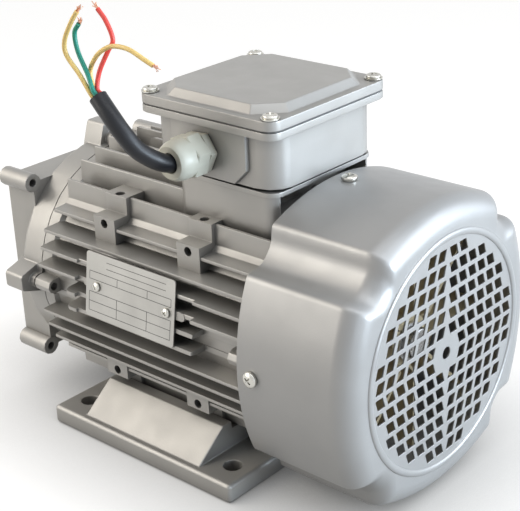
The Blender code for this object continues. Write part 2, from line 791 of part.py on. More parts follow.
def make_frame():
    """The finned stator frame with its pads, neck and screw bosses."""
    fins_front = FRAME_FRONT + FIN_SETBACK_FRONT
    fins_rear = FRAME_REAR - FIN_SETBACK_REAR
    frame = part("stator_frame", prism([finned_outline()], fins_front, fins_rear), PAINT, ON_AXIS)
    wall = rod(ROOT_RADIUS - REGISTER_STEP, FRAME_FRONT + FIN_SETBACK_FRONT / 2, FRAME_REAR, ROUND)
    join(frame, wall, ON_AXIS)
    collar = [
        (BORE_RADIUS + FRAME_WALL / 2, fins_front + COLLAR_TAPER),
        (BELL_RIM_RADIUS, fins_front + CLEAR),
        (BELL_RIM_RADIUS, FRAME_FRONT),
        (BORE_RADIUS - FRAME_WALL, FRAME_FRONT),
        (BORE_RADIUS - FRAME_WALL, fins_front + COLLAR_TAPER),
    ]
    join(frame, turned(collar), ON_AXIS)
    front_pockets = pocket(FRAME_FRONT + BOSS_POCKET_FRONT, FRAME_FRONT - CLEAR)
    rear_pockets = pocket(FRAME_REAR - BOSS_POCKET_REAR, FRAME_REAR + CLEAR)
    cut(frame, merged([front_pockets, rear_pockets]), ON_AXIS)
    recess = block((-PLATE_RECESS_FRONT, -PLATE_RECESS_HALF, -2 * CLEAR),
                   (PLATE_RECESS_REAR, PLATE_RECESS_HALF, FIN_HEIGHT))
    cut(frame, recess, plate_frame())
    pads = []
    for station in STATIONS:
        for sign_y, sign_z in corners():
            outline = pad_outline(sign_y, sign_z)
            pads.append(prism([outline], station - PAD_LENGTH / 2, station + PAD_LENGTH / 2))
    join(frame, merged(pads), ON_AXIS)
    neck_foot = SHAFT_HEIGHT + BORE_RADIUS - FRAME_WALL
    join(frame, prism([neck_outline(0)], neck_foot - FIN_HEIGHT, NECK_TOP - CLEAR))
    lip_base = NECK_TOP - NECK_LIP
    join(frame, prism([neck_outline(NECK_LIP_PROUD)], lip_base, NECK_TOP))
    hollow_half = NECK_HALF - NECK_HOLLOW_WALL
    cut(frame, block((NECK_REAR - NECK_HOLLOW, -hollow_half, lip_base - NECK_HOLLOW_HEIGHT),
                     (NECK_REAR + NECK_LIP, hollow_half, lip_base)))
    bosses = around(prism([boss_outline()], FRAME_FRONT + CLEAR, FRAME_FRONT + BOSS_LENGTH))
    join(frame, bosses, ON_AXIS)
    bosses = around(prism([boss_outline()], FRAME_REAR - BOSS_LENGTH, FRAME_REAR))
    join(frame, bosses, ON_AXIS)
    bar = rounded(RIVET_BAR_LENGTH / 2, RIVET_BAR_WIDTH / 2, RIVET_BAR_WIDTH / 2 - CLEAR,
                  (RIVET_SHIFT, RIVET_RISE), 2)
    join(frame, prism([bar], -FIN_HEIGHT, -CLEAR), plate_frame())
    cut(frame, rod(BORE_RADIUS, FRAME_FRONT - CLEAR, FRAME_REAR + CLEAR, ROUND), ON_AXIS)
    cut(frame, pad_holes(), Matrix.Translation((0, 0, SHAFT_HEIGHT)))
    hole = SHIELD_BOLT_RADIUS + CLEAR
    depth = BOSS_LENGTH + CLEAR
    front_holes = around(rod(hole, FRAME_FRONT - CLEAR, FRAME_FRONT + depth, TINY, (0, BOSS_ORBIT)))
    rear_holes = around(rod(hole, FRAME_REAR - depth, FRAME_REAR + CLEAR, TINY, (0, BOSS_ORBIT)))
    cut(frame, merged([front_holes, rear_holes]), ON_AXIS)
    rivet_hole = RIVET_RADIUS + CLEAR
    rivet_depth = RIVET_GRIP + CLEAR
    cut(frame, merged([rod(rivet_hole, -rivet_depth, CLEAR, TINY, place) for place in rivet_places()]),
        plate_frame())
    duct = rod(DUCT_RADIUS, SHAFT_HEIGHT + CORE_BORE, NECK_TOP + CLEAR, SMALL, (BOX_MIDDLE, 0))
    cut(frame, duct)
    screw_hole = BOX_SCREW_RADIUS + CLEAR
    screw_depth = BOX_SCREW_GRIP + CLEAR
    cut(frame, merged([rod(screw_hole, NECK_TOP - screw_depth, NECK_TOP + CLEAR, TINY, place)
                       for place in box_screw_places()]))


def make_foot(name, sign):
    """One foot: a drilled plate under a wedge that carries the pads behind its crest."""
    plate_low = (-FOOT_LENGTH / 2, min(sign * FOOT_EDGE, sign * FOOT_INNER), 0)
    plate_high = (FOOT_LENGTH / 2, max(sign * FOOT_EDGE, sign * FOOT_INNER), FOOT_PLATE)
    foot = part(name, block(plate_low, plate_high, FOOT_ROUND), PAINT)
    seat_edge = sign * (PAD_EDGE + 2 * CLEAR)
    wedge = [
        (sign * WEDGE_TOE, FOOT_PLATE - CLEAR),
        (sign * WEDGE_CREST_EDGE, FOOT_TOP + WEDGE_CREST),
        (seat_edge, FOOT_TOP + WEDGE_CREST),
        (seat_edge, FOOT_TOP),
        (sign * WEDGE_INNER, FOOT_TOP),
        (sign * WEDGE_INNER, FOOT_PLATE / 2),
        (sign * WEDGE_TOE, FOOT_PLATE / 2),
    ]
    wedge_low = WEDGE_MIDDLE - WEDGE_LENGTH / 2
    join(foot, prism([wedge], wedge_low, wedge_low + WEDGE_LENGTH), ACROSS)
    holes = []
    for side in (-1, 1):
        place = (side * FOOT_HOLE_SPAN_X / 2, sign * FOOT_HOLE_SPAN_Y / 2)
        holes.append(rod(FOOT_HOLE_RADIUS, -CLEAR, FOOT_TOP, SMALL, place))
    for station in STATIONS:
        place = (station, sign * PAD_OFFSET)
        holes.append(rod(PAD_HOLE_RADIUS, FOOT_BOLT_RECESS / 2, FOOT_TOP + CLEAR, TINY, place))
    cut(foot, merged(holes))
    recesses = []
    for station in STATIONS:
        place = (station, sign * PAD_OFFSET)
        recesses.append(rod(FOOT_BOLT_HEAD + CLEAR, -CLEAR, FOOT_BOLT_RECESS, SMALL, place))
    cut(foot, merged(recesses))


def make_foot_bolts():
    """Four socket bolts, up through the feet into the pads."""
    number = 0
    head_top = FOOT_BOLT_RECESS - CLEAR
    shank = SHAFT_HEIGHT - PAD_FACE + PAD_HOLE_DEPTH - head_top - 2 * CLEAR
    for sign in (-1, 1):
        for station in STATIONS:
            number += 1
            mesh = screw(shank, PAD_HOLE_RADIUS - CLEAR, FOOT_BOLT_HEAD, FOOT_BOLT_HEAD_HEIGHT)
            upward = Matrix.Translation((station, sign * PAD_OFFSET, head_top))
            part(f"foot_bolt_{number}", mesh, ZINC, upward @ Matrix.Rotation(math.pi, 4, "X"))


def lug_outline(foot):
    """A lug that narrows outwards, standing on the bell at local +y."""
    top = LUG_HALF_TOP
    half = [(LUG_HALF_FOOT, foot), (top, LUG_REACH - LUG_ROUND), (top - LUG_ROUND, LUG_REACH)]
    return half + [(-across, up) for across, up in half[::-1]]


def make_drive_shield():
    """The drive-end shield: a thick square flange, a round bell, corner bosses and four lugs."""
    plate_rear = FLANGE_FRONT + FLANGE_PLATE
    register = BORE_RADIUS - CLEAR
    bore = register - SHIELD_REGISTER_WALL
    floor = FLANGE_FRONT + SHIELD_FLOOR
    pocket_radius = BEARING_OUTER + CLEAR / 2
    pocket_front = DRIVE_BEARING_FRONT - CLEAR
    pocket_rear = DRIVE_BEARING_FRONT + BEARING_WIDTH + CLEAR
    hub = pocket_radius + HUB_WALL
    seal_front = FLANGE_FRONT - SPIGOT_HEIGHT
    seal_rear = seal_front + SEAL_WIDTH + 2 * CLEAR
    shaft_hole = SHAFT_RADIUS + SHAFT_CHAMFER
    shoulder = [(radius, FLANGE_FRONT + along) for radius, along in BELL_SHOULDER]
    profile = [
        (register, SHIELD_JOINT + SHIELD_REGISTER),
        (register, SHIELD_JOINT),
        (BELL_RIM_RADIUS, SHIELD_JOINT),
        *shoulder,
        (SPIGOT_RADIUS, shoulder[-1][1]),
        (SPIGOT_RADIUS, seal_front),
        (SEAL_RADIUS + CLEAR, seal_front),
        (SEAL_RADIUS + CLEAR, seal_rear),
        (shaft_hole, seal_rear),
        (shaft_hole, pocket_front),
        (pocket_radius, pocket_front),
        (pocket_radius, pocket_rear),
        (hub, pocket_rear),
        (hub, floor),
        (bore, floor),
        (bore, SHIELD_JOINT + SHIELD_REGISTER),
    ]
    shield = part("drive_end_shield", turned(profile), PAINT, ON_AXIS)
    inner_edge = circle(SPIGOT_RADIUS - SHIELD_WEB, SMALL)
    square = rounded(FLANGE_HALF, FLANGE_HALF, FLANGE_CORNER, steps=1)
    join(shield, prism([square, inner_edge], FLANGE_FRONT, plate_rear), ON_AXIS)
    bosses = []
    holes = []
    for sign_y, sign_z in corners():
        place = (sign_y * CORNER_BOSS_Y, sign_z * CORNER_BOSS_Z)
        rear = FLANGE_FRONT + CORNER_BOSS_LENGTH
        bosses.append(rod(CORNER_BOSS_RADIUS, FLANGE_FRONT + CLEAR, rear, SMALL, place))
        holes.append(rod(CORNER_HOLE_RADIUS, FLANGE_FRONT - CLEAR, rear + CLEAR, TINY, place))
    join(shield, merged(bosses), ON_AXIS)
    lug_front = SHIELD_JOINT - LUG_DEPTH
    lug_rear = SHIELD_JOINT - LUG_COLLAR
    join(shield, around(prism([lug_outline((bore + register) / 2)], lug_front, lug_rear)), ON_AXIS)
    join(shield, around(prism([boss_outline()], lug_rear - CLEAR, SHIELD_JOINT)), ON_AXIS)
    bolt_hole = SHIELD_BOLT_RADIUS + CLEAR
    lug_hole = rod(bolt_hole, lug_front - CLEAR, SHIELD_JOINT + CLEAR, TINY, (0, BOSS_ORBIT))
    cut(shield, merged([*holes, around(lug_hole)]), ON_AXIS)


def make_fan_shield():
    """The fan-end shield: a disc with a bearing hub and four lugs that carry the cowl."""
    register = BORE_RADIUS - CLEAR
    bore = register - SHIELD_REGISTER_WALL
    disc_rear = FAN_JOINT + FAN_SHIELD_DISC
    pocket_radius = BEARING_OUTER + CLEAR / 2
    pocket_front = FAN_BEARING_FRONT - CLEAR
    pocket_rear = FAN_BEARING_FRONT + BEARING_WIDTH + WAVE_SPRING + 3 * CLEAR
    hub = pocket_radius + HUB_WALL
    hub_rear = pocket_rear + SHIELD_WEB / 2
    shaft_hole = FAN_SEAT_RADIUS + SHAFT_CHAMFER
    profile = [
        (hub, hub_rear),
        (hub, disc_rear),
        (FAN_SHIELD_RADIUS, disc_rear),
        (FAN_SHIELD_RADIUS, FAN_JOINT),
        (register, FAN_JOINT),
        (register, FAN_JOINT - SHIELD_REGISTER),
        (bore, FAN_JOINT - SHIELD_REGISTER),
        (bore, FAN_JOINT),
        (hub, FAN_JOINT),
        (hub, pocket_front),
        (pocket_radius, pocket_front),
        (pocket_radius, pocket_rear),
        (shaft_hole, pocket_rear),
        (shaft_hole, hub_rear),
    ]
    shield = part("fan_end_shield", turned(profile, INNER), PAINT, ON_AXIS)
    lug_top = cowl_lug_top()
    lug_low = (-FAN_LUG_HALF, FAN_SHIELD_RADIUS - SHIELD_WEB, FAN_JOINT)
    lug = block(lug_low, (FAN_LUG_HALF, lug_top, FAN_JOINT + FAN_LUG_LENGTH), LUG_ROUND)
    join(shield, around(lug), ON_AXIS)
    bolt_hole = SHIELD_BOLT_RADIUS + CLEAR
    lug_rear = FAN_JOINT + FAN_LUG_LENGTH
    holes = around(rod(bolt_hole, FAN_JOINT - CLEAR, lug_rear + CLEAR, TINY, (0, BOSS_ORBIT)))
    cut(shield, holes, ON_AXIS)
    screw_hole = rod(COWL_SCREW_RADIUS + CLEAR, lug_top - COWL_SCREW_GRIP - CLEAR, lug_top + CLEAR, TINY)
    sockets = [moved(screw_hole.copy(), cowl_screw_turn(angle)) for angle in cowl_screw_angles()]
    cut(shield, merged(sockets), Matrix.Translation((COWL_SCREW_X, 0, SHAFT_HEIGHT)))


def cowl_screw_angles():
    """The cowl screws sit at 9, 12 and 3 o'clock; the underside has no room for one."""
    return [math.radians(angle) for angle in (90, 0, -90)]


def cowl_lug_top():
    """How far out a lug reaches before its corners meet the inside of the cowl."""
    centre = COWL_SIDE - COWL_SIDE_CURVE
    inside = COWL_SIDE_CURVE - COWL_WALL
    return centre + math.sqrt(inside ** 2 - FAN_LUG_HALF ** 2) - CLEAR


def cowl_screw_turn(angle):
    """Turn local +z from straight up to a place round the shaft."""
    return Matrix.Rotation(angle, 4, "X")


def make_shield_bolts():
    """Hexagon bolts through the lugs of both shields into the frame's bosses."""
    grip = SHIELD_BOLT_GRIP - CLEAR
    for end, seat, lug, facing in (("drive", SHIELD_JOINT - LUG_DEPTH, LUG_DEPTH, math.pi),
                                   ("fan", FAN_JOINT + FAN_LUG_LENGTH, FAN_LUG_LENGTH, 0)):
        for number, angle in enumerate(QUARTERS, 1):
            outward = -CLEAR if facing else CLEAR
            place = Matrix.Rotation(angle, 4, "Z") @ Matrix.Translation((0, BOSS_ORBIT, seat + outward))
            matrix = ON_AXIS @ place @ Matrix.Rotation(facing, 4, "X")
            length = lug + grip
            head, shank = hex_bolt(length, SHIELD_BOLT_RADIUS, SHIELD_BOLT_HEAD, SHIELD_BOLT_HEAD_HEIGHT)
            bolt = part(f"{end}_shield_bolt_{number}", head, ZINC, matrix)
            join(bolt, shank, matrix)


def ring(name, outer, inner, low, high, material, parent=MOTOR, steps=ROUND):
    """A plain turned ring on the shaft's axis."""
    profile = [(outer, high), (outer, low), (inner, low), (inner, high)]
    matrix = ACROSS if parent is ROTOR else ON_AXIS
    return part(name, turned(profile, steps), material, matrix, parent)


def make_bearing(end, front):
    """A shielded ball bearing: the outer ring stays with its shield, the inner turns."""
    rear = front + BEARING_WIDTH
    ring(f"{end}_bearing_outer_ring", BEARING_OUTER, BEARING_RACE_OUTER, front, rear, STEEL, MOTOR, INNER)
    lip = BEARING_RACE_OUTER - CLEAR
    ring(f"{end}_bearing_inner_ring", lip, BEARING_BORE + CLEAR / 2, front, rear, STEEL, ROTOR, INNER)


def make_seal_and_spring():
    """The lip seal at the flange and the wave spring behind the fan-end bearing."""
    seal_front = FLANGE_FRONT - SPIGOT_HEIGHT + CLEAR
    lip = SHAFT_RADIUS + CLEAR
    ring("shaft_seal", SEAL_RADIUS, lip, seal_front, seal_front + SEAL_WIDTH, RUBBER, MOTOR, INNER)
    spring_front = FAN_BEARING_FRONT + BEARING_WIDTH + CLEAR
    ring("wave_spring", BEARING_OUTER - CLEAR, BEARING_RACE_OUTER, spring_front, spring_front + WAVE_SPRING,
         STEEL, MOTOR, INNER)


def make_shaft():
    """The stepped shaft with its keyway, and the key."""
    fan_shoulder = FAN_FRONT - CLEAR
    groove_front = FAN_END + CLEAR
    groove_rear = groove_front + CIRCLIP_WALL + 2 * CLEAR
    tail = groove_rear + SHAFT_TAIL
    groove = FAN_SEAT_RADIUS - CIRCLIP_GROOVE
    fan_bearing_rear = FAN_BEARING_FRONT + BEARING_WIDTH
    body_rear = FAN_BEARING_FRONT - CLEAR
    body_front = DRIVE_BEARING_FRONT + BEARING_WIDTH + CLEAR
    profile = [
        (0, tail),
        (FAN_SEAT_RADIUS - SHAFT_CHAMFER, tail),
        (FAN_SEAT_RADIUS, tail - SHAFT_CHAMFER),
        (FAN_SEAT_RADIUS, groove_rear),
        (groove, groove_rear),
        (groove, groove_front),
        (FAN_SEAT_RADIUS, groove_front),
        (FAN_SEAT_RADIUS, fan_bearing_rear),
        (BEARING_BORE, fan_bearing_rear),
        (BEARING_BORE, body_rear),
        (SHAFT_BODY_RADIUS, body_rear),
        (SHAFT_BODY_RADIUS, body_front),
        (BEARING_BORE, body_front),
        (BEARING_BORE, DRIVE_BEARING_FRONT),
        (SHAFT_RADIUS, DRIVE_BEARING_FRONT),
        (SHAFT_RADIUS, SHAFT_TIP + SHAFT_CHAMFER),
        (SHAFT_RADIUS - SHAFT_CHAMFER, SHAFT_TIP),
        (0, SHAFT_TIP),
    ]
    shaft = part("shaft", turned(profile, INNER, closed=False), STEEL, ACROSS, ROTOR)
    key_front = SHAFT_TIP + KEY_INSET
    seat = SHAFT_RADIUS - KEY_DEPTH
    half = KEY_WIDTH / 2
    slot_low = (key_front - CLEAR, -half - CLEAR, seat - CLEAR)
    slot_high = (key_front + KEY_LENGTH + CLEAR, half + CLEAR, seat + KEY_HEIGHT)
    cut(shaft, block(slot_low, slot_high), parent=ROTOR)
    key = block((key_front, -half, seat), (key_front + KEY_LENGTH, half, seat + KEY_HEIGHT))
    part("shaft_key", key, STEEL, UPRIGHT, ROTOR)


def make_rotor_core():
    """The rotor pack with its cast end rings."""
    radius = CORE_BORE - AIR_GAP
    bore = SHAFT_BODY_RADIUS + CLEAR / 2
    end = radius - END_RING_INSET
    profile = [
        (end, CORE_REAR + END_RING),
        (end, CORE_REAR),
        (radius, CORE_REAR),
        (radius, CORE_FRONT),
        (end, CORE_FRONT),
        (end, CORE_FRONT - END_RING),
        (bore, CORE_FRONT - END_RING),
        (bore, CORE_REAR + END_RING),
    ]
    part("rotor_core", turned(profile, INNER), LAMINATION, ACROSS, ROTOR)


def core_bore_outline():
    """The stator's bore with its slots, as the inner outline of the pack."""
    points = []
    half = SLOT_WIDTH / 2 / CORE_BORE
    for slot in range(CORE_SLOTS):
        middle = 2 * math.pi * slot / CORE_SLOTS
        mouth = CORE_BORE * math.cos(half)
        floor = CORE_BORE + SLOT_DEPTH
        for reach, side in ((mouth, -1), (floor, -1), (floor, 1), (mouth, 1)):
            across = side * SLOT_WIDTH / 2
            points.append((reach * math.cos(middle) - across * math.sin(middle),
                           reach * math.sin(middle) + across * math.cos(middle)))
    return points


def make_stator():
    """The slotted stator pack and the winding heads at its two ends."""
    outer = BORE_RADIUS - CLEAR / 2
    pack = prism([circle(outer), core_bore_outline()], CORE_FRONT, CORE_REAR)
    part("stator_core", pack, LAMINATION, ON_AXIS)
    middle = (WINDING_INNER + WINDING_OUTER) / 2
    for end, seat, sign in (("drive", CORE_FRONT, -1), ("fan", CORE_REAR, 1)):
        low = seat + sign * CLEAR
        high = low + sign * WINDING_REACH
        shoulder = low + sign * WINDING_SHOULDER
        profile = [
            (WINDING_OUTER, low),
            (WINDING_INNER, low),
            (WINDING_INNER, shoulder),
            (middle, high),
            (WINDING_OUTER, shoulder),
        ]
        if sign < 0:
            profile.reverse()
        part(f"winding_{end}_end", turned(profile, INNER), COPPER, ON_AXIS)


def make_fan():
    """The radial fan on the shaft's tail and the circlip behind it."""
    disc_rear = FAN_FRONT + FAN_DISC
    bore = FAN_SEAT_RADIUS + CLEAR / 2
    profile = [
        (FAN_HUB_RADIUS, FAN_END),
        (FAN_HUB_RADIUS, disc_rear),
        (FAN_DISC_RADIUS, disc_rear),
        (FAN_DISC_RADIUS, FAN_FRONT),
        (bore, FAN_FRONT),
        (bore, FAN_END),
    ]
    fan = part("fan", turned(profile, INNER), FAN_PLASTIC, ACROSS, ROTOR)
    half = FAN_BLADE_WALL / 2
    inner = (FAN_HUB_RADIUS + bore) / 2
    blade = [
        (inner, FAN_FRONT + FAN_DISC / 2),
        (FAN_BLADE_TIP, FAN_FRONT + FAN_DISC / 2),
        (FAN_BLADE_TIP, FAN_FRONT + FAN_BLADE_DEPTH),
        (FAN_HUB_RADIUS + FAN_DISC, FAN_FRONT + FAN_BLADE_DEPTH),
        (inner, FAN_END - FAN_DISC),
    ]
    stand = Matrix.Rotation(math.pi / 2, 4, "X")
    one_blade = moved(prism([blade], -half, half), stand)
    turns = [2 * math.pi * index / FAN_BLADES for index in range(FAN_BLADES)]
    join(fan, around(one_blade, turns), ACROSS, ROTOR)
    clip_inner = FAN_SEAT_RADIUS - CIRCLIP_GROOVE + CLEAR
    open_turn = CIRCLIP_GAP / 2
    clip = arc((0, 0), CIRCLIP_RADIUS, open_turn, 2 * math.pi - open_turn, SMALL)
    clip += arc((0, 0), clip_inner, 2 * math.pi - open_turn, open_turn, SMALL)
    clip_front = FAN_END + 2 * CLEAR
    part("fan_circlip", prism([clip], clip_front, clip_front + CIRCLIP_WALL), STEEL, ACROSS, ROTOR)


def cowl_section(inset=0.0):
    """The cowl's outline: four bulged sides that end in ridges beside a groove at each diagonal."""
    centre = COWL_SIDE - COWL_SIDE_CURVE
    swing = math.asin(COWL_RIDGE / COWL_SIDE_CURVE)
    side = arc((centre, 0), COWL_SIDE_CURVE, -swing, swing, COWL_SIDE_STEPS)
    ridge = Vector(side[-1])
    next_ridge = Vector((ridge.y, ridge.x))
    across = (next_ridge - ridge).normalized()
    diagonal = (ridge + next_ridge).normalized()
    lip = ridge + across * COWL_LIP_WIDTH - diagonal * COWL_LIP_DROP
    wall = ridge + across * COWL_GROOVE_SIDE - diagonal * COWL_GROOVE_SIDE_DROP
    floor = ridge.lerp(next_ridge, 0.5) - diagonal * COWL_GROOVE_DEPTH
    groove = [lip, wall, floor, Vector((wall.y, wall.x)), Vector((lip.y, lip.x))]
    quarter = [Vector(point) for point in side] + groove
    points = []
    for angle in QUARTERS:
        for point in quarter:
            place = Matrix.Rotation(angle, 2) @ point
            points.append(place * (1 - inset / place.length))
    return points


def grille_outlines():
    """The leaning holes of the grille in mirrored quarters, and the round one in the middle."""
    outlines = [circle(GRILLE_CENTRE_HOLE, TINY)]
    half_width = GRILLE_HOLE_WIDTH / 2
    half_height = GRILLE_HOLE_HEIGHT / 2
    lean = half_height * math.tan(GRILLE_LEAN)
    count = math.ceil(GRILLE_REACH / GRILLE_PITCH)
    for row in range(count):
        for column in range(count):
            across = column + 0.5
            up = row + 0.5
            if math.hypot(across, up) * GRILLE_PITCH > GRILLE_REACH or row + column == 0:
                continue
            for sign_y, sign_z in corners():
                y = sign_y * (across * GRILLE_PITCH + GRILLE_MIDDLE_GAP / 2)
                z = sign_z * up * GRILLE_PITCH
                tilt = -sign_y * sign_z * lean
                outlines.append([
                    (y - half_width - tilt, z - half_height),
                    (y + half_width - tilt, z - half_height),
                    (y + half_width + tilt, z + half_height),
                    (y - half_width + tilt, z + half_height),
                ])
    return outlines


def make_cowl():
    """The fan cowl: a sheet with a rounded rear edge, a perforated rear face and a raised ring."""
    steps = [(COWL_FRONT, 0)]
    for step in range(COWL_ROUND_STEPS + 1):
        turn = math.pi / 2 * step / COWL_ROUND_STEPS
        along = COWL_REAR - COWL_ROUND * (1 - math.sin(turn))
        steps.append((along, COWL_ROUND * (1 - math.cos(turn))))
    rings = [[(*point, along) for point in cowl_section(inset)] for along, inset in steps]
    skirt = loft(rings, capped=False)
    rear = prism([cowl_section(COWL_ROUND), *grille_outlines()], COWL_REAR, COWL_REAR)
    cowl = part("fan_cowl", welded([skirt, rear]), COWL_PAINT, ON_AXIS)
    sheet = cowl.modifiers.new("sheet", "SOLIDIFY")
    sheet.thickness = COWL_WALL
    sheet.offset = -1
    sheet.use_even_offset = True
    ring_inner = GRILLE_RING_RADIUS - GRILLE_RING_WIDTH / 2
    ring_outer = GRILLE_RING_RADIUS + GRILLE_RING_WIDTH / 2
    foot = COWL_REAR - COWL_WALL / 2
    bead = [(GRILLE_RING_RADIUS, COWL_REAR + GRILLE_RING_HEIGHT), (ring_outer, foot), (ring_inner, foot)]
    join(cowl, turned(bead), ON_AXIS)
    hole = rod(COWL_SCREW_RADIUS + CLEAR, COWL_SIDE - 2 * COWL_WALL, COWL_SIDE + COWL_WALL, TINY)
    holes = [moved(hole.copy(), cowl_screw_turn(angle)) for angle in cowl_screw_angles()]
    cut(cowl, merged(holes), Matrix.Translation((COWL_SCREW_X, 0, SHAFT_HEIGHT)))


def make_cowl_screws():
    """Pan-headed screws through the cowl into the fan shield's lugs."""
    seat = COWL_SIDE + CLEAR
    length = COWL_WALL + COWL_SCREW_GRIP
    for number, angle in enumerate(cowl_screw_angles(), 1):
        mesh = screw(length, COWL_SCREW_RADIUS, COWL_SCREW_HEAD, COWL_SCREW_HEAD_HEIGHT)
        place = Matrix.Translation((COWL_SCREW_X, 0, SHAFT_HEIGHT)) @ cowl_screw_turn(angle)
        part(f"cowl_screw_{number}", mesh, ZINC, place @ Matrix.Translation((0, 0, seat)))


def gland_pad_outline(inset):
    """The raised pad under the gland, seen from -Y, with its lower corners cut off."""
    front = GLAND_PAD_FRONT + inset
    rear = GLAND_PAD_REAR - inset
    low = BOX_BASE + CLEAR
    high = BOX_TOP - BOX_FLANGE / 2
    return [
        (front + GLAND_PAD_CUT, low),
        (rear - GLAND_PAD_CUT, low),
        (rear, low + GLAND_PAD_CUT),
        (rear, high),
        (front, high),
        (front, low + GLAND_PAD_CUT),
    ]


def make_box():
    """The terminal box with its flange, gland pad and openings, and the gasket below it."""
    centre = (BOX_MIDDLE, 0)
    flange_base = BOX_TOP - BOX_FLANGE
    body = rounded(BOX_HALF_X, BOX_HALF_Y, BOX_CORNER, centre)
    box = part("terminal_box", prism([body], BOX_BASE, flange_base + CLEAR), PAINT)
    join(box, prism([rounded(LID_HALF, LID_HALF, LID_CORNER, centre)], flange_base, BOX_TOP))
    pad_foot = [(x, BOX_WALL - BOX_HALF_Y, z) for x, z in gland_pad_outline(0)]
    pad_face = [(x, -GLAND_PAD_FACE, z) for x, z in gland_pad_outline(GLAND_PAD_DRAFT)]
    join(box, loft([pad_foot, pad_face]))
    floor = BOX_BASE + BOX_FLOOR
    inside = rounded(BOX_HALF_X - BOX_WALL, BOX_HALF_Y - BOX_WALL, BOX_CORNER - BOX_WALL, centre)
    cut(box, prism([inside], floor, BOX_TOP + CLEAR))
    screws = [rod(BOX_SCREW_RADIUS + CLEAR, BOX_BASE - CLEAR, floor + CLEAR, TINY, place)
              for place in box_screw_places()]
    cut(box, merged([rod(DUCT_RADIUS, BOX_BASE - CLEAR, floor + CLEAR, SMALL, centre), *screws]))
    cut(box, rod(GLAND_THREAD + CLEAR, -BOX_WALL, GLAND_PAD_FACE - BOX_HALF_Y + 2 * BOX_WALL, SMALL),
        along_y((GLAND_X, -BOX_HALF_Y + BOX_WALL, GLAND_Z)))
    lid_hole = LID_SCREW_RADIUS + CLEAR
    hole_base = flange_base + CLEAR
    lid_holes = [rod(lid_hole, hole_base, BOX_TOP + CLEAR, TINY, place) for place in lid_screw_places()]
    cut(box, merged(lid_holes))
    seat = rounded(BOX_GASKET_HALF_X, BOX_GASKET_HALF_Y, BOX_CORNER - BOX_WALL, centre, 1)
    openings = [circle(DUCT_RADIUS + CLEAR, SMALL, centre)]
    openings += [circle(BOX_SCREW_RADIUS + CLEAR, TINY, place) for place in box_screw_places()]
    gasket_base = NECK_TOP + CLEAR
    part("box_gasket", prism([seat, *openings], gasket_base, gasket_base + BOX_GASKET), RUBBER)


def lid_screw_places():
    """The lid's four corner screws."""
    return [(BOX_MIDDLE + sx * LID_SCREW_OFFSET, sy * LID_SCREW_OFFSET) for sx, sy in corners()]


def lid_panel(inset, low, high):
    """The raised middle of the lid, an octagon that narrows upwards."""
    centre = (BOX_MIDDLE, 0)
    wide = octagon(LID_PANEL_HALF - inset, LID_PANEL_CUT, centre)
    narrow = octagon(LID_PANEL_HALF - inset - LID_PANEL_BEVEL, LID_PANEL_CUT_TOP, centre)
    return loft([[(*point, low) for point in wide], [(*point, high) for point in narrow]])


def make_lid():
    """The lid with its raised panel, its gasket and its screws."""
    centre = (BOX_MIDDLE, 0)
    outline = rounded(LID_HALF, LID_HALF, LID_CORNER, centre)
    lid = part("terminal_box_lid", prism([outline], LID_BASE, LID_TOP), PAINT)
    join(lid, lid_panel(0, LID_TOP - CLEAR, LID_TOP + LID_PANEL_HEIGHT))
    cut(lid, lid_panel(LID_WALL, LID_BASE - CLEAR, LID_TOP + LID_PANEL_HEIGHT - LID_WALL))
    hole = LID_SCREW_RADIUS + CLEAR
    rods = [rod(hole, LID_BASE - CLEAR, LID_TOP + CLEAR, TINY, place) for place in lid_screw_places()]
    cut(lid, merged(rods))
    gasket_base = BOX_TOP + CLEAR / 2
    outer = rounded(LID_HALF - CLEAR, LID_HALF - CLEAR, LID_CORNER, centre)
    inner_half = LID_HALF - LID_GASKET_WIDTH
    inner = rounded(inner_half, inner_half, LID_CORNER, centre, 1)
    holes = [circle(hole, TINY, place) for place in lid_screw_places()]
    part("lid_gasket", prism([outer, inner, *holes], gasket_base, gasket_base + LID_GASKET), RUBBER)
    length = LID_TOP - BOX_TOP + BOX_FLANGE - 2 * CLEAR
    for number, place in enumerate(lid_screw_places(), 1):
        mesh = screw(length, LID_SCREW_RADIUS, LID_SCREW_HEAD, LID_SCREW_HEAD_HEIGHT)
        part(f"lid_screw_{number}", mesh, ZINC, Matrix.Translation((*place, LID_TOP + CLEAR)))


def make_box_inside():
    """The terminal block with its six studs, and the screws that hold the box down."""
    floor = BOX_BASE + BOX_FLOOR + CLEAR
    middle_y = DUCT_RADIUS + BLOCK_SHIFT
    low = (BOX_MIDDLE - BLOCK_LENGTH / 2, middle_y - BLOCK_WIDTH / 2, floor)
    high = (BOX_MIDDLE + BLOCK_LENGTH / 2, middle_y + BLOCK_WIDTH / 2, floor + BLOCK_HEIGHT)
    terminals = part("terminal_block", block(low, high, BLOCK_ROUND), BLOCK_PLASTIC)
    studs = []
    for column in (-1, 0, 1):
        for row in (-1, 1):
            place = (BOX_MIDDLE + column * STUD_PITCH, middle_y + row * STUD_ROW / 2)
            top = floor + BLOCK_HEIGHT + STUD_HEIGHT
            studs.append(rod(STUD_RADIUS, floor + BLOCK_HEIGHT / 2, top, TINY, place))
    join(terminals, merged(studs))
    length = BOX_FLOOR + BOX_GASKET + BOX_SCREW_GRIP
    for number, place in enumerate(box_screw_places(), 1):
        mesh = screw(length, BOX_SCREW_RADIUS, BOX_SCREW_HEAD, BOX_SCREW_HEAD_HEIGHT)
        part(f"box_screw_{number}", mesh, ZINC, Matrix.Translation((*place, floor)))


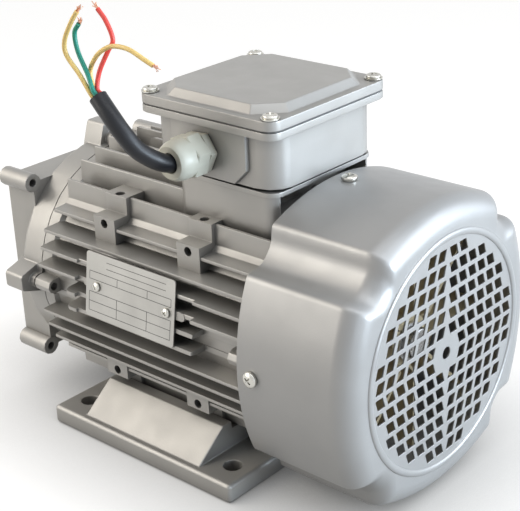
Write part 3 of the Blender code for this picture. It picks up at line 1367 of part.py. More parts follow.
def make_gland():
    """The nylon cable gland: a hexagon body screwed into the box and a domed nut."""
    bore = CABLE_RADIUS + GLAND_PLAY
    facing = along_y((GLAND_X, GLAND_FACE, GLAND_Z)) @ Matrix.Rotation(GLAND_TURN, 4, "Z")
    hexagon = rod(GLAND_HEX, 0, GLAND_HEX_WIDTH, HEXAGON)
    body = part("gland_body", hexagon, NYLON, facing)
    join(body, rod(GLAND_THREAD, -GLAND_TAIL, GLAND_HEX_WIDTH / 2, SMALL), facing)
    cut(body, rod(bore, -GLAND_TAIL - CLEAR, GLAND_HEX_WIDTH + CLEAR, SMALL), facing)
    facing = along_y((GLAND_X, NUT_FACE, GLAND_Z)) @ Matrix.Rotation(NUT_TURN, 4, "Z")
    nut = part("gland_nut", rod(NUT_HEX, 0, NUT_HEX_WIDTH, HEXAGON), NYLON, facing)
    dome = [
        (0, NUT_LENGTH),
        (NUT_MOUTH, NUT_LENGTH),
        (NUT_BROW, NUT_LENGTH - NUT_BROW_DROP),
        (NUT_SHOULDER, NUT_LENGTH - NUT_SHOULDER_DROP),
        (NUT_SHOULDER, NUT_HEX_WIDTH / 2),
        (0, NUT_HEX_WIDTH / 2),
    ]
    join(nut, turned(dome, SMALL, closed=False), facing)
    cut(nut, rod(bore, -CLEAR, NUT_LENGTH + CLEAR, SMALL), facing)


def smooth_route(points, step):
    """Points a step apart along a smooth curve through the given ones."""
    ends = [points[0] * 2 - points[1], *points, points[-1] * 2 - points[-2]]
    route = []
    for before, start, end, after in zip(ends, ends[1:], ends[2:], ends[3:]):
        count = max(1, round((end - start).length / step))
        for index in range(count):
            t = index / count
            route.append(0.5 * (2 * start + (end - before) * t
                                + (2 * before - 5 * start + 4 * end - after) * t ** 2
                                + (3 * start - before - 3 * end + after) * t ** 3))
    return route + [points[-1]]


def tube(name, points, radius, sides, material):
    """A cord as a round tube along a route."""
    curve = bpy.data.curves.new(name, "CURVE")
    curve.dimensions = "3D"
    curve.bevel_depth = radius
    curve.bevel_resolution = sides
    curve.use_fill_caps = True
    curve.render_resolution_u = 0
    spline = curve.splines.new("POLY")
    spline.points.add(len(points) - 1)
    for point, place in zip(spline.points, points):
        point.co = (*place, 1)
    item = bpy.data.objects.new(name, curve)
    CUTTERS.objects.link(item)
    part(name, evaluated_mesh(item), material)


def make_nameplate():
    """The blank rating plate and the two rivets that hold it to the fins."""
    outline = rounded(PLATE_LENGTH / 2, PLATE_HEIGHT / 2, PLATE_CORNER)
    holes = [circle(RIVET_RADIUS + CLEAR, TINY, place) for place in rivet_places()]
    part("nameplate", prism([outline, *holes], 0, PLATE_WALL), PLATE_METAL, plate_frame())
    length = RIVET_GRIP + PLATE_WALL
    for number, place in enumerate(rivet_places(), 1):
        mesh = screw(length, RIVET_RADIUS, RIVET_HEAD, RIVET_HEAD_HEIGHT)
        seat = plate_frame() @ Matrix.Translation((*place, PLATE_WALL + CLEAR))
        part(f"nameplate_rivet_{number}", mesh, ZINC, seat)


def make_cable():
    """The cable as it leaves the gland, and the four leads that fan out of its end."""
    mouth = Vector((GLAND_X, CABLE_EXIT, GLAND_Z))
    route = [mouth + Vector(point) for point in ((0, CABLE_INSERT, 0), (0, 0, 0), *CABLE_ROUTE)]
    tube("cable_sheath", smooth_route(route, CABLE_STEP), CABLE_RADIUS, CABLE_FACETS, SHEATH)
    ahead = (route[-1] - route[-2]).normalized()
    right = ahead.cross(Vector((0, -1, 0))).normalized()
    near = right.cross(ahead)
    spread = LEAD_RADIUS + CLEAR
    leads = (
        ("lead_yellow_a", YELLOW, (-1, 1), YELLOW_A_ROUTE),
        ("lead_green", GREEN, (1, 1), GREEN_ROUTE),
        ("lead_red", RED, (1, -1), RED_ROUTE),
        ("lead_yellow_b", YELLOW, (-1, -1), YELLOW_B_ROUTE),
    )
    for name, material, (side, front), points in leads:
        root = route[-1] + ahead * CLEAR + (right * side + near * front) * spread
        lead = [root, root + ahead * LEAD_STRAIGHT, *[mouth + Vector(point) for point in points]]
        tube(name, smooth_route(lead, LEAD_STEP), LEAD_RADIUS, LEAD_FACETS, material)


make_frame()
make_foot("foot_near", -1)
make_foot("foot_far", 1)
make_foot_bolts()
make_drive_shield()
make_fan_shield()
make_shield_bolts()
make_bearing("drive", DRIVE_BEARING_FRONT)
make_bearing("fan", FAN_BEARING_FRONT)
make_seal_and_spring()
make_shaft()
make_rotor_core()
make_stator()
make_fan()
make_cowl()
make_cowl_screws()
make_box()
make_lid()
make_box_inside()
make_gland()
make_nameplate()
make_cable()
for piece in PARTS.objects:
    if piece.modifiers:
        settle(piece)
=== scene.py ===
"""Looks of the electric motor: finishes, fine surfaces, cable, light and camera."""
import json
import math
import random

import bmesh
import bpy
from mathutils import Matrix, Vector


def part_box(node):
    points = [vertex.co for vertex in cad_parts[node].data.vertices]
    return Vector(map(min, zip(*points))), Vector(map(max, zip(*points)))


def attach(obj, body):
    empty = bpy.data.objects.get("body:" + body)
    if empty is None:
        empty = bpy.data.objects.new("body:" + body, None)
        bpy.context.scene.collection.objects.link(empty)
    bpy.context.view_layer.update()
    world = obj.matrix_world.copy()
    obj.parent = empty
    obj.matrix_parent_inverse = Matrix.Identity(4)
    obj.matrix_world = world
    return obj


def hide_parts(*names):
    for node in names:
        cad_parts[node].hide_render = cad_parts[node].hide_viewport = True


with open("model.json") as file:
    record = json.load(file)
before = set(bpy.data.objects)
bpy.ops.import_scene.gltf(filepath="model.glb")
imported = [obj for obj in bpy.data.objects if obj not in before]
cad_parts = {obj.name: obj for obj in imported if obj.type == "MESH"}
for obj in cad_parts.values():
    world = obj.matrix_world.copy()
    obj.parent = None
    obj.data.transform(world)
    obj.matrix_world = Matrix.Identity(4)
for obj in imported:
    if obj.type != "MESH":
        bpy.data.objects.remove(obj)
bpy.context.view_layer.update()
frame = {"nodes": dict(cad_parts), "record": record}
NODES = frame["nodes"]

# Camera, solved from the photograph
IMAGE_WIDTH = 520
FOCAL_PIXELS = 1324.57
SENSOR = 36.0
CAMERA_PLACE = Vector((0.5361, -0.5472, 0.4396))
CAMERA_AZIMUTH = math.radians(42.288)
CAMERA_ELEVATION = math.radians(23.808)
CAMERA_ROLL = math.radians(-2.417)

# Places taken from the frame
CORE_LOW, CORE_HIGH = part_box("rotor_core")
AXIS_Z = (CORE_LOW.z + CORE_HIGH.z) / 2
NUT_LOW, NUT_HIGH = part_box("gland_nut")
NUT_MIDDLE = (NUT_LOW + NUT_HIGH) / 2
GLAND_MOUTH = Vector((NUT_MIDDLE.x, NUT_LOW.y, NUT_MIDDLE.z))

# Across the shaft: local x, y and z become Y, Z and X
ACROSS = Matrix(((0, 0, 1, 0), (1, 0, 0, 0), (0, 1, 0, 0), (0, 0, 0, 1)))
ON_AXIS = Matrix.Translation((0, 0, AXIS_Z)) @ ACROSS
QUARTERS = tuple(math.radians(90 * index) for index in range(4))
WELD = 0.000001
SMOOTH_ANGLE = math.radians(34)
LATHE_STEPS = 48
CORNER_CUT = 0.25

# Rounding of edges: what counts as flat and as sharp, and the area by which a folded face shows itself
FLAT_ANGLE = math.radians(1.0)
EDGE_ANGLE = math.radians(31)
EDGE_STEPS = 2
FOLD_SPARE = 1.03
TWIST_SPARE = 1.3
FOLD_AREA = 0.00000002

# Fan cowl
COWL_LOW, COWL_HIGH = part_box("fan_cowl")
COWL_WALL = 0.0011
COWL_SIDE = (COWL_HIGH.z - COWL_LOW.z) / 2
COWL_SIDE_CURVE = 0.133
COWL_RIDGE = 0.0539
COWL_LIP_WIDTH = 0.0029
COWL_LIP_DROP = 0.0012
COWL_GROOVE_SIDE = 0.0090
COWL_GROOVE_SIDE_DROP = 0.0063
COWL_GROOVE_DEPTH = 0.0073
COWL_ROUND = 0.014
COWL_ROUND_STEPS = 10
COWL_SIDE_STEPS = 30
COWL_CORNER_ROUNDS = 2
COWL_LIP_SHARE = 1 / 3
RING_HEIGHT = 0.0012
RING_RADIUS = 0.0700
RING_WIDTH = 0.0042
RING_STEPS = 128
BEAD_STEPS = 8
COWL_REAR = COWL_HIGH.x - RING_HEIGHT
GRILLE_PITCH = 0.00925
GRILLE_REACH = 0.0629
HOLE_WIDTH = 0.0065
HOLE_HEIGHT = 0.0066
HOLE_LEAN = math.radians(18)
HOLE_CORNER = 0.0006
HOLE_CORNER_STEPS = 3
HOLE_EDGE = 0.0002
MIDDLE_GAP = 0.0021
CENTRE_HOLE = 0.0037
CENTRE_HOLE_STEPS = 16

# Gland nut
NUT_HEX = 0.0134
NUT_HEX_WIDTH = 0.0098
NUT_TURN = math.radians(-16)
NUT_BORE = 0.0060
NUT_EDGE = 0.0006
NUT_DOME = (
    (0.0118, 0.0030),
    (0.0118, 0.0135),
    (0.0116, 0.0160),
    (0.0110, 0.0182),
    (0.0103, 0.0196),
    (0.0094, 0.0205),
)

# Screws: head radius, head height, height of the solid's head, washer radius and washer height
LID_SCREW = (0.0044, 0.0030, 0.0024, 0.0053, 0.0007)
COWL_SCREW = (0.0047, 0.0032, 0.0024, 0.0, 0.0)
RIVET = (0.0030, 0.0019, 0.0016, 0.0, 0.0)
LID_SCREW_TURNS = (0.3, 1.1, 0.7, 0.2)
COWL_SCREW_TURNS = (0.9, 0.4, 0.6)
RIVET_TURNS = (0.5, 1.0)
CROWN_DEPTH = 0.0001

# Shares of a screw head's radius and height
SHANK_SHARE = 0.45
HEAD_SIDE_SHARE = 0.45
HEAD_FOOT_SHARE = 0.96
HEAD_FOOT_RISE = 0.3
DOME_SWEEP = math.radians(80)
DOME_STEPS = 7
RECESS_FLOOR = (0.26, 0.07, 0.45)
RECESS_MOUTH = (0.62, 0.13, 1.1)

# Nameplate: the least that its outer face points to the front, and its ruled lines from its middle
PLATE_FACING = -0.9
RULE_PROUD = 0.00004
RULE_WIDTH = 0.00036
TABLE_HALF = 0.0345
TABLE_LEVELS = (0.0085, 0.0035, -0.0045, -0.0105, -0.0165)
TABLE_COLUMNS = (-0.0105, 0.0150)
TITLE_LEVELS = (0.0165, 0.0125)
TITLE_REACH = (-0.0200, 0.0300)

# Cable and leads, along the same points as the solids, measured from the mouth of the gland
CABLE_RADIUS = 0.0052
CABLE_INSERT = 0.008
LEAD_RADIUS = 0.0013
LEAD_GAP = 0.0003
LEAD_STRAIGHT = 0.0039
CABLE_ROUTE = (
    (-0.0004, -0.0094, 0.0045),
    (-0.0048, -0.0184, 0.0122),
    (-0.0096, -0.0234, 0.0220),
    (-0.0156, -0.0254, 0.0308),
    (-0.0246, -0.0254, 0.0400),
)
YELLOW_A_ROUTE = (
    (-0.0360, -0.0269, 0.0508),
    (-0.0441, -0.0279, 0.0607),
    (-0.0436, -0.0284, 0.0690),
    (-0.0368, -0.0284, 0.0797),
    (-0.0321, -0.0279, 0.0856),
)
GREEN_ROUTE = (
    (-0.0316, -0.0249, 0.0510),
    (-0.0391, -0.0239, 0.0623),
    (-0.0410, -0.0234, 0.0719),
    (-0.0370, -0.0234, 0.0774),
)
RED_ROUTE = (
    (-0.0260, -0.0214, 0.0529),
    (-0.0209, -0.0189, 0.0639),
    (-0.0167, -0.0184, 0.0706),
    (-0.0207, -0.0184, 0.0798),
    (-0.0266, -0.0184, 0.0859),
)
YELLOW_B_ROUTE = (
    (-0.0340, -0.0209, 0.0515),
    (-0.0264, -0.0224, 0.0612),
    (-0.0163, -0.0239, 0.0675),
    (-0.0079, -0.0244, 0.0698),
    (0.0020, -0.0244, 0.0694),
    (0.0115, -0.0234, 0.0654),
    (0.0166, -0.0224, 0.0629),
)
TUBE_RESOLUTION = 6
STRANDS = 7
STRAND_RADIUS = 0.00028
STRAND_SIDES = 6
STRAND_LENGTH = 0.0046
STRAND_SHARES = (0.6, 1.1)
STRAND_SPREAD = 0.55
STRAND_ROOT_LEAN = 0.4
STRAND_TIP_LEAN = 1.4

# Solids whose edges are rounded on copies, and the widths
ROUNDED_EDGES = (
    ("stator_frame", 0.0005),
    ("drive_end_shield", 0.0008),
    ("fan_end_shield", 0.0005),
    ("foot_near", 0.0008),
    ("foot_far", 0.0008),
    ("terminal_box", 0.0006),
    ("terminal_box_lid", 0.0006),
    ("gland_body", 0.0006),
    ("drive_shield_bolt_1", 0.0004),
    ("drive_shield_bolt_2", 0.0004),
    ("drive_shield_bolt_3", 0.0004),
    ("drive_shield_bolt_4", 0.0004),
)
ROTOR_ROUNDED_EDGES = (
    ("shaft", 0.0006),
    ("shaft_key", 0.0004),
)

# Light: name, place, power and colour of each lamp
LIGHT_TARGET = Vector((0.0, 0.0, 0.10))
LAMP_SIZE = 0.8
LAMPS = (
    ("left_high", (-0.75, -0.50, 0.85), 3.4, (1.0, 0.92, 0.81)),
    ("left_front", (-0.80, -0.90, 0.80), 4.6, (1.0, 0.95, 0.86)),
    ("left_low", (-0.70, -1.10, 0.40), 3.6, (1.0, 0.95, 0.87)),
    ("right_front", (1.30, -0.50, 0.12), 2.6, (0.78, 0.88, 1.0)),
    ("top", (0.25, -0.15, 1.20), 2.4, (0.96, 0.98, 1.0)),
    ("right_high", (0.90, 0.10, 1.00), 3.4, (0.90, 0.95, 1.0)),
    ("right_low", (1.30, 0.40, 0.18), 27.0, (0.74, 0.87, 1.0)),
    ("right_back", (0.90, 0.80, 0.50), 7.0, (0.80, 0.89, 1.0)),
)
ROOM_COLOUR = (0.96, 0.98, 1.0)
ROOM_LIGHT = 0.04
FLOOR_COLOUR = (0.22, 0.213, 0.20)
FLOOR_ROUGHNESS = 0.8
FLOOR_RADIUS = 6
FLOOR_SIDES = 64
# The floor's glow for the camera and reflections, and the reach of the painted shadow that darkens that
# glow near the object
FLOOR_GLOW = 0.86
FLOOR_SHADE = 0.10

# Paints: name, colour, roughness, metallic share, grain and share of the painted shade that darkens the
# colour in gaps
# Reach of the painted shade: ambient occlusion darkens the paint's colour in gaps and corners within it
PAINTED_SHADE_REACH = 0.010
PAINTS = (
    ("silver_paint", (0.40, 0.39, 0.372), 0.40, 0.42, 900, 0.70),
    ("cowl_paint", (0.365, 0.362, 0.357), 0.36, 0.42, 1400, 0.0),
)

# Bare metals: name, colour, roughness, stretch, scale and depth of the lines
METALS = (
    ("zinc_steel", (0.57, 0.56, 0.52), 0.22, (1, 1, 1), 300, 0.0002),
    ("shaft_steel", (0.54, 0.54, 0.535), 0.28, (8, 1, 1), 220, 0.00002),
    ("lamination_steel", (0.30, 0.30, 0.31), 0.5, (12, 1, 1), 200, 0.0002),
    ("varnished_copper", (0.55, 0.25, 0.10), 0.4, (1, 6, 6), 150, 0.0002),
    ("plate_aluminium", (0.39, 0.385, 0.367), 0.40, (1, 14, 14), 260, 0.0002),
    ("bare_copper", (0.72, 0.42, 0.30), 0.3, (1, 1, 1), 600, 0.0002),
)

# Plastics and rubbers: name, colour, roughness, grain and specular level
PLASTICS = (
    ("black_rubber", (0.02, 0.02, 0.022), 0.6, 700, 0.5),
    ("fan_plastic", (0.47, 0.38, 0.235), 0.5, 500, 0.5),
    ("terminal_plastic", (0.05, 0.05, 0.05), 0.5, 500, 0.5),
    ("ivory_nylon", (0.63, 0.62, 0.53), 0.36, 350, 0.5),
    ("black_sheath", (0.006, 0.007, 0.010), 0.36, 400, 0.4),
    ("yellow_insulation", (1.0, 0.72, 0.26), 0.38, 500, 0.5),
    ("green_insulation", (0.015, 0.31, 0.23), 0.38, 500, 0.5),
    ("red_insulation", (0.88, 0.09, 0.07), 0.38, 500, 0.5),
    ("grey_rubber", (0.16, 0.16, 0.16), 0.6, 700, 0.5),
    ("plate_ink", (0.05, 0.05, 0.055), 0.45, 600, 0.5),
)

# Noise keeps mostly between these values
NOISE_RANGE = (0.3, 0.7)

# Nodes that look different from the rest of their slot
OTHER_LOOKS = {"lid_gasket": "grey_rubber"}


def make_camera():
    """The camera at the photograph's place, with its small roll."""
    sin_az = math.sin(CAMERA_AZIMUTH)
    cos_az = math.cos(CAMERA_AZIMUTH)
    sin_el = math.sin(CAMERA_ELEVATION)
    cos_el = math.cos(CAMERA_ELEVATION)
    level = Vector((cos_az, sin_az, 0))
    upward = Vector((-sin_az * sin_el, cos_az * sin_el, cos_el))
    right = level * math.cos(CAMERA_ROLL) + upward * math.sin(CAMERA_ROLL)
    up = upward * math.cos(CAMERA_ROLL) - level * math.sin(CAMERA_ROLL)
    back = right.cross(up)
    data = bpy.data.cameras.new("photo_camera")
    data.sensor_width = SENSOR
    data.lens = FOCAL_PIXELS * SENSOR / IMAGE_WIDTH
    camera = bpy.data.objects.new("photo_camera", data)
    turn = Matrix((right, up, back)).transposed().to_4x4()
    camera.matrix_world = Matrix.Translation(CAMERA_PLACE) @ turn
    bpy.context.scene.collection.objects.link(camera)
    bpy.context.scene.camera = camera


# Materials


class Look:
    """A Principled material whose texture nodes read the object's own coordinates in metres."""

    def __init__(self, name, colour, roughness, metallic=0.0):
        self.material = bpy.data.materials.new(name)
        self.material.use_nodes = True
        self.tree = self.material.node_tree
        self.shader = self.tree.nodes["Principled BSDF"]
        self.shader.inputs["Base Color"].default_value = (*colour, 1)
        self.shader.inputs["Roughness"].default_value = roughness
        self.shader.inputs["Metallic"].default_value = metallic
        self.material.diffuse_color = (*colour, 1)
        self.colour = colour
        self.roughness = roughness
        self.place = self.tree.nodes.new("ShaderNodeTexCoord").outputs["Object"]

    def link(self, output, target):
        """Connect two sockets."""
        self.tree.links.new(output, target)

    def noise(self, scale, detail=3.0, stretch=(1, 1, 1)):
        """Noise with features about 1/scale metres wide."""
        mapping = self.tree.nodes.new("ShaderNodeMapping")
        mapping.inputs["Scale"].default_value = stretch
        self.link(self.place, mapping.inputs["Vector"])
        texture = self.tree.nodes.new("ShaderNodeTexNoise")
        texture.inputs["Scale"].default_value = scale
        texture.inputs["Detail"].default_value = detail
        self.link(mapping.outputs["Vector"], texture.inputs["Vector"])
        return texture.outputs["Fac"]

    def ranged(self, value, low, high):
        """Spread a noise value over a range."""
        node = self.tree.nodes.new("ShaderNodeMapRange")
        node.inputs["From Min"].default_value = NOISE_RANGE[0]
        node.inputs["From Max"].default_value = NOISE_RANGE[1]
        node.inputs["To Min"].default_value = low
        node.inputs["To Max"].default_value = high
        self.link(value, node.inputs["Value"])
        return node.outputs["Result"]

    def tone(self, value, darker, lighter):
        """Vary the colour between a darker and a lighter share of itself."""
        ramp = self.tree.nodes.new("ShaderNodeValToRGB")
        for stop, share, place in zip(ramp.color_ramp.elements, (darker, lighter), NOISE_RANGE):
            stop.position = place
            stop.color = (*[channel * share for channel in self.colour], 1)
        self.link(value, ramp.inputs["Fac"])
        self.tinted = ramp.outputs["Color"]
        self.link(self.tinted, self.shader.inputs["Base Color"])

    def painted_gap_shade(self, reach, share):
        """Painted shade: darken the varied colour by ambient occlusion where the surface lies deep in a
        gap.
        """
        gap = self.tree.nodes.new("ShaderNodeAmbientOcclusion")
        gap.inputs["Distance"].default_value = reach
        self.link(self.tinted, gap.inputs["Color"])
        mix = self.tree.nodes.new("ShaderNodeMixRGB")
        mix.inputs["Fac"].default_value = share
        self.link(self.tinted, mix.inputs["Color1"])
        self.link(gap.outputs["Color"], mix.inputs["Color2"])
        self.link(mix.outputs["Color"], self.shader.inputs["Base Color"])

    def gloss(self, value, spread):
        """Vary the roughness about its own value."""
        rough = self.ranged(value, self.roughness - spread, self.roughness + spread)
        self.link(rough, self.shader.inputs["Roughness"])

    def relief(self, value, strength, depth):
        """Bump from a noise value."""
        bump = self.tree.nodes.new("ShaderNodeBump")
        bump.inputs["Strength"].default_value = strength
        bump.inputs["Distance"].default_value = depth
        self.link(value, bump.inputs["Height"])
        self.link(bump.outputs["Normal"], self.shader.inputs["Normal"])


def cast_paint(name, colour, roughness, metallic, grain, painted_gap_shade):
    """Satin metal paint: soft clouding in tone and gloss, a fine skin and painted shade in the gaps."""
    look = Look(name, colour, roughness, metallic)
    look.tone(look.noise(scale=22, detail=4), darker=0.95, lighter=1.05)
    # Painted shade: the colour darkens in gaps and corners as ambient occlusion gives
    if painted_gap_shade:
        look.painted_gap_shade(PAINTED_SHADE_REACH, painted_gap_shade)
    look.gloss(look.noise(scale=75, detail=4), spread=0.05)
    look.relief(look.noise(grain, detail=4), strength=0.10, depth=0.0004)
    return look.material


def worked_metal(name, colour, roughness, stretch, scale, depth):
    """Bare metal with fine lines along one direction."""
    look = Look(name, colour, roughness, metallic=1.0)
    look.tone(look.noise(scale=40), darker=0.90, lighter=1.06)
    lines = look.noise(scale, stretch=stretch)
    look.gloss(lines, spread=0.07)
    look.relief(lines, strength=0.08, depth=depth)
    return look.material


def plastic(name, colour, roughness, grain, shine):
    """Moulded plastic or rubber with a faint grain."""
    look = Look(name, colour, roughness)
    look.shader.inputs["Specular IOR Level"].default_value = shine
    look.tone(look.noise(scale=60), darker=0.93, lighter=1.05)
    look.gloss(look.noise(scale=180), spread=0.05)
    look.relief(look.noise(grain), strength=0.06, depth=0.0002)
    return look.material


def make_looks():
    """One material for each of the record's slots, and the ones that only the fine pieces need."""
    looks = {}
    for make, rows in ((cast_paint, PAINTS), (worked_metal, METALS), (plastic, PLASTICS)):
        for name, *values in rows:
            looks[name] = make(name, *values)
    return looks


LOOKS = make_looks()


def slots_by_node():
    """The material slot of each node, from the record's sub-parts."""
    return {subpart["node"]: subpart["material_slot"] for subpart in frame["record"]["subparts"]}


SLOT_OF = slots_by_node()


def dress_nodes():
    """Give every solid of the frame its slot's material."""
    for node, item in NODES.items():
        item.data.materials.clear()
        item.data.materials.append(LOOKS[OTHER_LOOKS.get(node, SLOT_OF[node])])


# Mesh tools


def placed(mesh):
    """A passing object for a mesh."""
    item = bpy.data.objects.new("passing", mesh)
    bpy.context.scene.collection.objects.link(item)
    return item


def evaluated_mesh(item):
    """Turn an object with its modifiers into a plain welded mesh and remove the object."""
    bpy.context.view_layer.update()
    graph = bpy.context.evaluated_depsgraph_get()
    mesh = bpy.data.meshes.new_from_object(item.evaluated_get(graph))
    bpy.data.objects.remove(item, do_unlink=True)
    return welded([mesh], turn_out=False)


def combined(mesh, tool_mesh, operation):
    """Join two closed meshes, or cut one by the other."""
    item = placed(mesh)
    tool = placed(tool_mesh)
    step = item.modifiers.new("step", "BOOLEAN")
    step.object = tool
    step.operation = operation
    result = evaluated_mesh(item)
    bpy.data.objects.remove(tool, do_unlink=True)
    return result


def from_bmesh(shape):
    """Close a bmesh into a mesh."""
    mesh = bpy.data.meshes.new("solid")
    shape.to_mesh(mesh)
    shape.free()
    return mesh


def fill(outlines, level):
    """A flat sheet at a height along local z; inner outlines are holes."""
    curve = bpy.data.curves.new("outline", "CURVE")
    curve.dimensions = "2D"
    curve.fill_mode = "BOTH"
    for outline in outlines:
        spline = curve.splines.new("POLY")
        spline.points.add(len(outline) - 1)
        for point, (across, along) in zip(spline.points, outline):
            point.co = (across, along, 0, 1)
        spline.use_cyclic_u = True
    item = bpy.data.objects.new("outline", curve)
    bpy.context.scene.collection.objects.link(item)
    mesh = evaluated_mesh(item)
    mesh.transform(Matrix.Translation((0, 0, level)))
    return mesh


def loft(rings, capped=False):
    """Skin rings of equal point counts, with or without faces over the ends."""
    shape = bmesh.new()
    loops = [[shape.verts.new(point) for point in ring] for ring in rings]
    count = len(loops[0])
    for lower, upper in zip(loops, loops[1:]):
        for index in range(count):
            after = (index + 1) % count
            shape.faces.new((lower[index], lower[after], upper[after], upper[index]))
    if capped:
        shape.faces.new(reversed(loops[0]))
        shape.faces.new(loops[-1])
    return from_bmesh(shape)


def lathe(profile):
    """A closed turned solid along local z from (radius, height) points, lowest first."""
    return loft([at_level(circle(radius, LATHE_STEPS), height) for radius, height in profile], capped=True)


def welded(meshes, turn_out=True):
    """Join sheets along the points that they share."""
    shape = bmesh.new()
    for mesh in meshes:
        shape.from_mesh(mesh)
    bmesh.ops.remove_doubles(shape, verts=shape.verts, dist=WELD)
    if turn_out:
        bmesh.ops.recalc_face_normals(shape, faces=shape.faces)
    return from_bmesh(shape)


def at_level(outline, level):
    """A flat outline as a ring at a height along local z."""
    return [(across, along, level) for across, along in outline]


def circle(radius, steps, centre=(0, 0), start=0.0):
    """Points of a round outline."""
    turns = [start + 2 * math.pi * index / steps for index in range(steps)]
    return [(centre[0] + radius * math.cos(turn), centre[1] + radius * math.sin(turn)) for turn in turns]


def arc(centre, radius, start, end, steps):
    """Points of an arc from one angle to another, both ends included."""
    turns = [start + (end - start) * index / steps for index in range(steps + 1)]
    return [(centre[0] + radius * math.cos(turn), centre[1] + radius * math.sin(turn)) for turn in turns]


def cornered(points, rounds):
    """Round the corners of a closed outline by cutting them again and again."""
    for _ in range(rounds):
        cut_points = []
        for index, point in enumerate(points):
            after = points[(index + 1) % len(points)]
            cut_points.append(point.lerp(after, CORNER_CUT))
            cut_points.append(point.lerp(after, 1 - CORNER_CUT))
        points = cut_points
    return points


def show(name, mesh, slot, look=None, body="stator", nodes=()):
    """Add a fine piece that rides on a body and stands for the given nodes."""
    item = bpy.data.objects.new(name, mesh)
    mesh.name = name
    mesh.materials.clear()
    mesh.materials.append(LOOKS[look or slot])
    mesh.shade_smooth()
    mesh.set_sharp_from_angle(angle=SMOOTH_ANGLE)
    bpy.context.scene.collection.objects.link(item)
    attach(item, body)
    if nodes:
        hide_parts(*nodes)
    return item


def even_shading(item):
    """Let large faces set the normals."""
    normals = item.modifiers.new("even_shading", "WEIGHTED_NORMAL")
    normals.keep_sharp = True


def roomy(edge, width):
    """Whether an edge is sharp and has room for a rounding of a width."""
    if len(edge.link_faces) != 2 or edge.calc_face_angle() < EDGE_ANGLE:
        return False
    faces = set(edge.link_faces)
    beside = [other.calc_length() for vert in edge.verts for other in vert.link_edges
              if other is not edge and faces & set(other.link_faces)]
    return edge.calc_length() > 2 * width and min(beside) > 2 * width


def folded_origins(shape, origin):
    """The faces before the rounding whose triangles now cover more than the face holds."""
    shape.normal_update()
    covered = {}
    for loops in shape.calc_loop_triangles():
        first, second, third = [loop.vert.co for loop in loops]
        face = loops[0].face
        area = (second - first).cross(third - first).length / 2
        covered[face] = covered.get(face, 0) + area
    folded = set()
    for face, area in covered.items():
        spare = FOLD_SPARE if len(face.verts) > 4 else TWIST_SPARE
        if area > face.calc_area() * spare + FOLD_AREA:
            folded.add(face[origin])
    return folded


def rounded(shape, width):
    """Round the sharp edges that have room for it, and leave those sharp that would fold a face."""
    origin = shape.faces.layers.int.new("origin")
    shape.edges.index_update()
    shape.faces.index_update()
    shape.faces.ensure_lookup_table()
    for face in shape.faces:
        face[origin] = face.index
    chosen = {edge.index for edge in shape.edges if roomy(edge, width)}
    while True:
        trial = shape.copy()
        trial.edges.ensure_lookup_table()
        edges = [trial.edges[index] for index in sorted(chosen)]
        bmesh.ops.bevel(trial, geom=edges, offset=width, segments=EDGE_STEPS, affect="EDGES",
                        clamp_overlap=False, profile=0.5)
        folded = folded_origins(trial, trial.faces.layers.int["origin"])
        spoiling = {edge.index for index in folded for edge in shape.faces[index].edges} & chosen
        if not spoiling:
            shape.free()
            return trial
        chosen -= spoiling
        trial.free()


def polished(node, width, body="stator"):
    """A copy of a solid with its flat faces merged and its edges rounded."""
    shape = bmesh.new()
    shape.from_mesh(NODES[node].data)
    bmesh.ops.remove_doubles(shape, verts=shape.verts, dist=WELD)
    bmesh.ops.dissolve_limit(shape, angle_limit=FLAT_ANGLE, verts=shape.verts, edges=shape.edges)
    mesh = from_bmesh(rounded(shape, width))
    if "custom_normal" in mesh.attributes:
        mesh.attributes.remove(mesh.attributes["custom_normal"])
    even_shading(show(f"{node}_fine", mesh, SLOT_OF[node], body=body, nodes=(node,)))


# Fan cowl


def cowl_section(inset):
    """The cowl's outline: bulged sides that end in ridges beside a groove at each diagonal."""
    centre = COWL_SIDE - COWL_SIDE_CURVE
    swing = math.asin(COWL_RIDGE / COWL_SIDE_CURVE)
    side = arc((centre, 0), COWL_SIDE_CURVE, -swing, swing, COWL_SIDE_STEPS)
    ridge = Vector(side[-1])
    next_ridge = Vector((ridge.y, ridge.x))
    across = (next_ridge - ridge).normalized()
    diagonal = (ridge + next_ridge).normalized()
    lip = ridge + across * COWL_LIP_WIDTH - diagonal * COWL_LIP_DROP
    wall = ridge + across * COWL_GROOVE_SIDE - diagonal * COWL_GROOVE_SIDE_DROP
    floor = ridge.lerp(next_ridge, 0.5) - diagonal * COWL_GROOVE_DEPTH
    groove = [lip, wall, floor, Vector((wall.y, wall.x)), Vector((lip.y, lip.x))]
    quarter = [Vector(point) for point in side] + groove
    points = []
    for angle in QUARTERS:
        points += [Matrix.Rotation(angle, 2) @ point for point in quarter]
    smooth = cornered(points, COWL_CORNER_ROUNDS)
    return [tuple(point * (1 - inset / point.length)) for point in smooth]


def leaning(place, lean, margin):
    """A hole's outline: a leaning rectangle with round corners, wider by a margin."""
    half_width = HOLE_WIDTH / 2 + margin
    half_height = HOLE_HEIGHT / 2 + margin
    corner = HOLE_CORNER + margin
    points = []
    for index, (sign_x, sign_y) in enumerate(((1, 1), (-1, 1), (-1, -1), (1, -1))):
        middle = (sign_x * (half_width - corner), sign_y * (half_height - corner))
        start = math.radians(90 * index)
        points += arc(middle, corner, start, start + math.pi / 2, HOLE_CORNER_STEPS)
    return [(place[0] + x + y * lean, place[1] + y) for x, y in points]


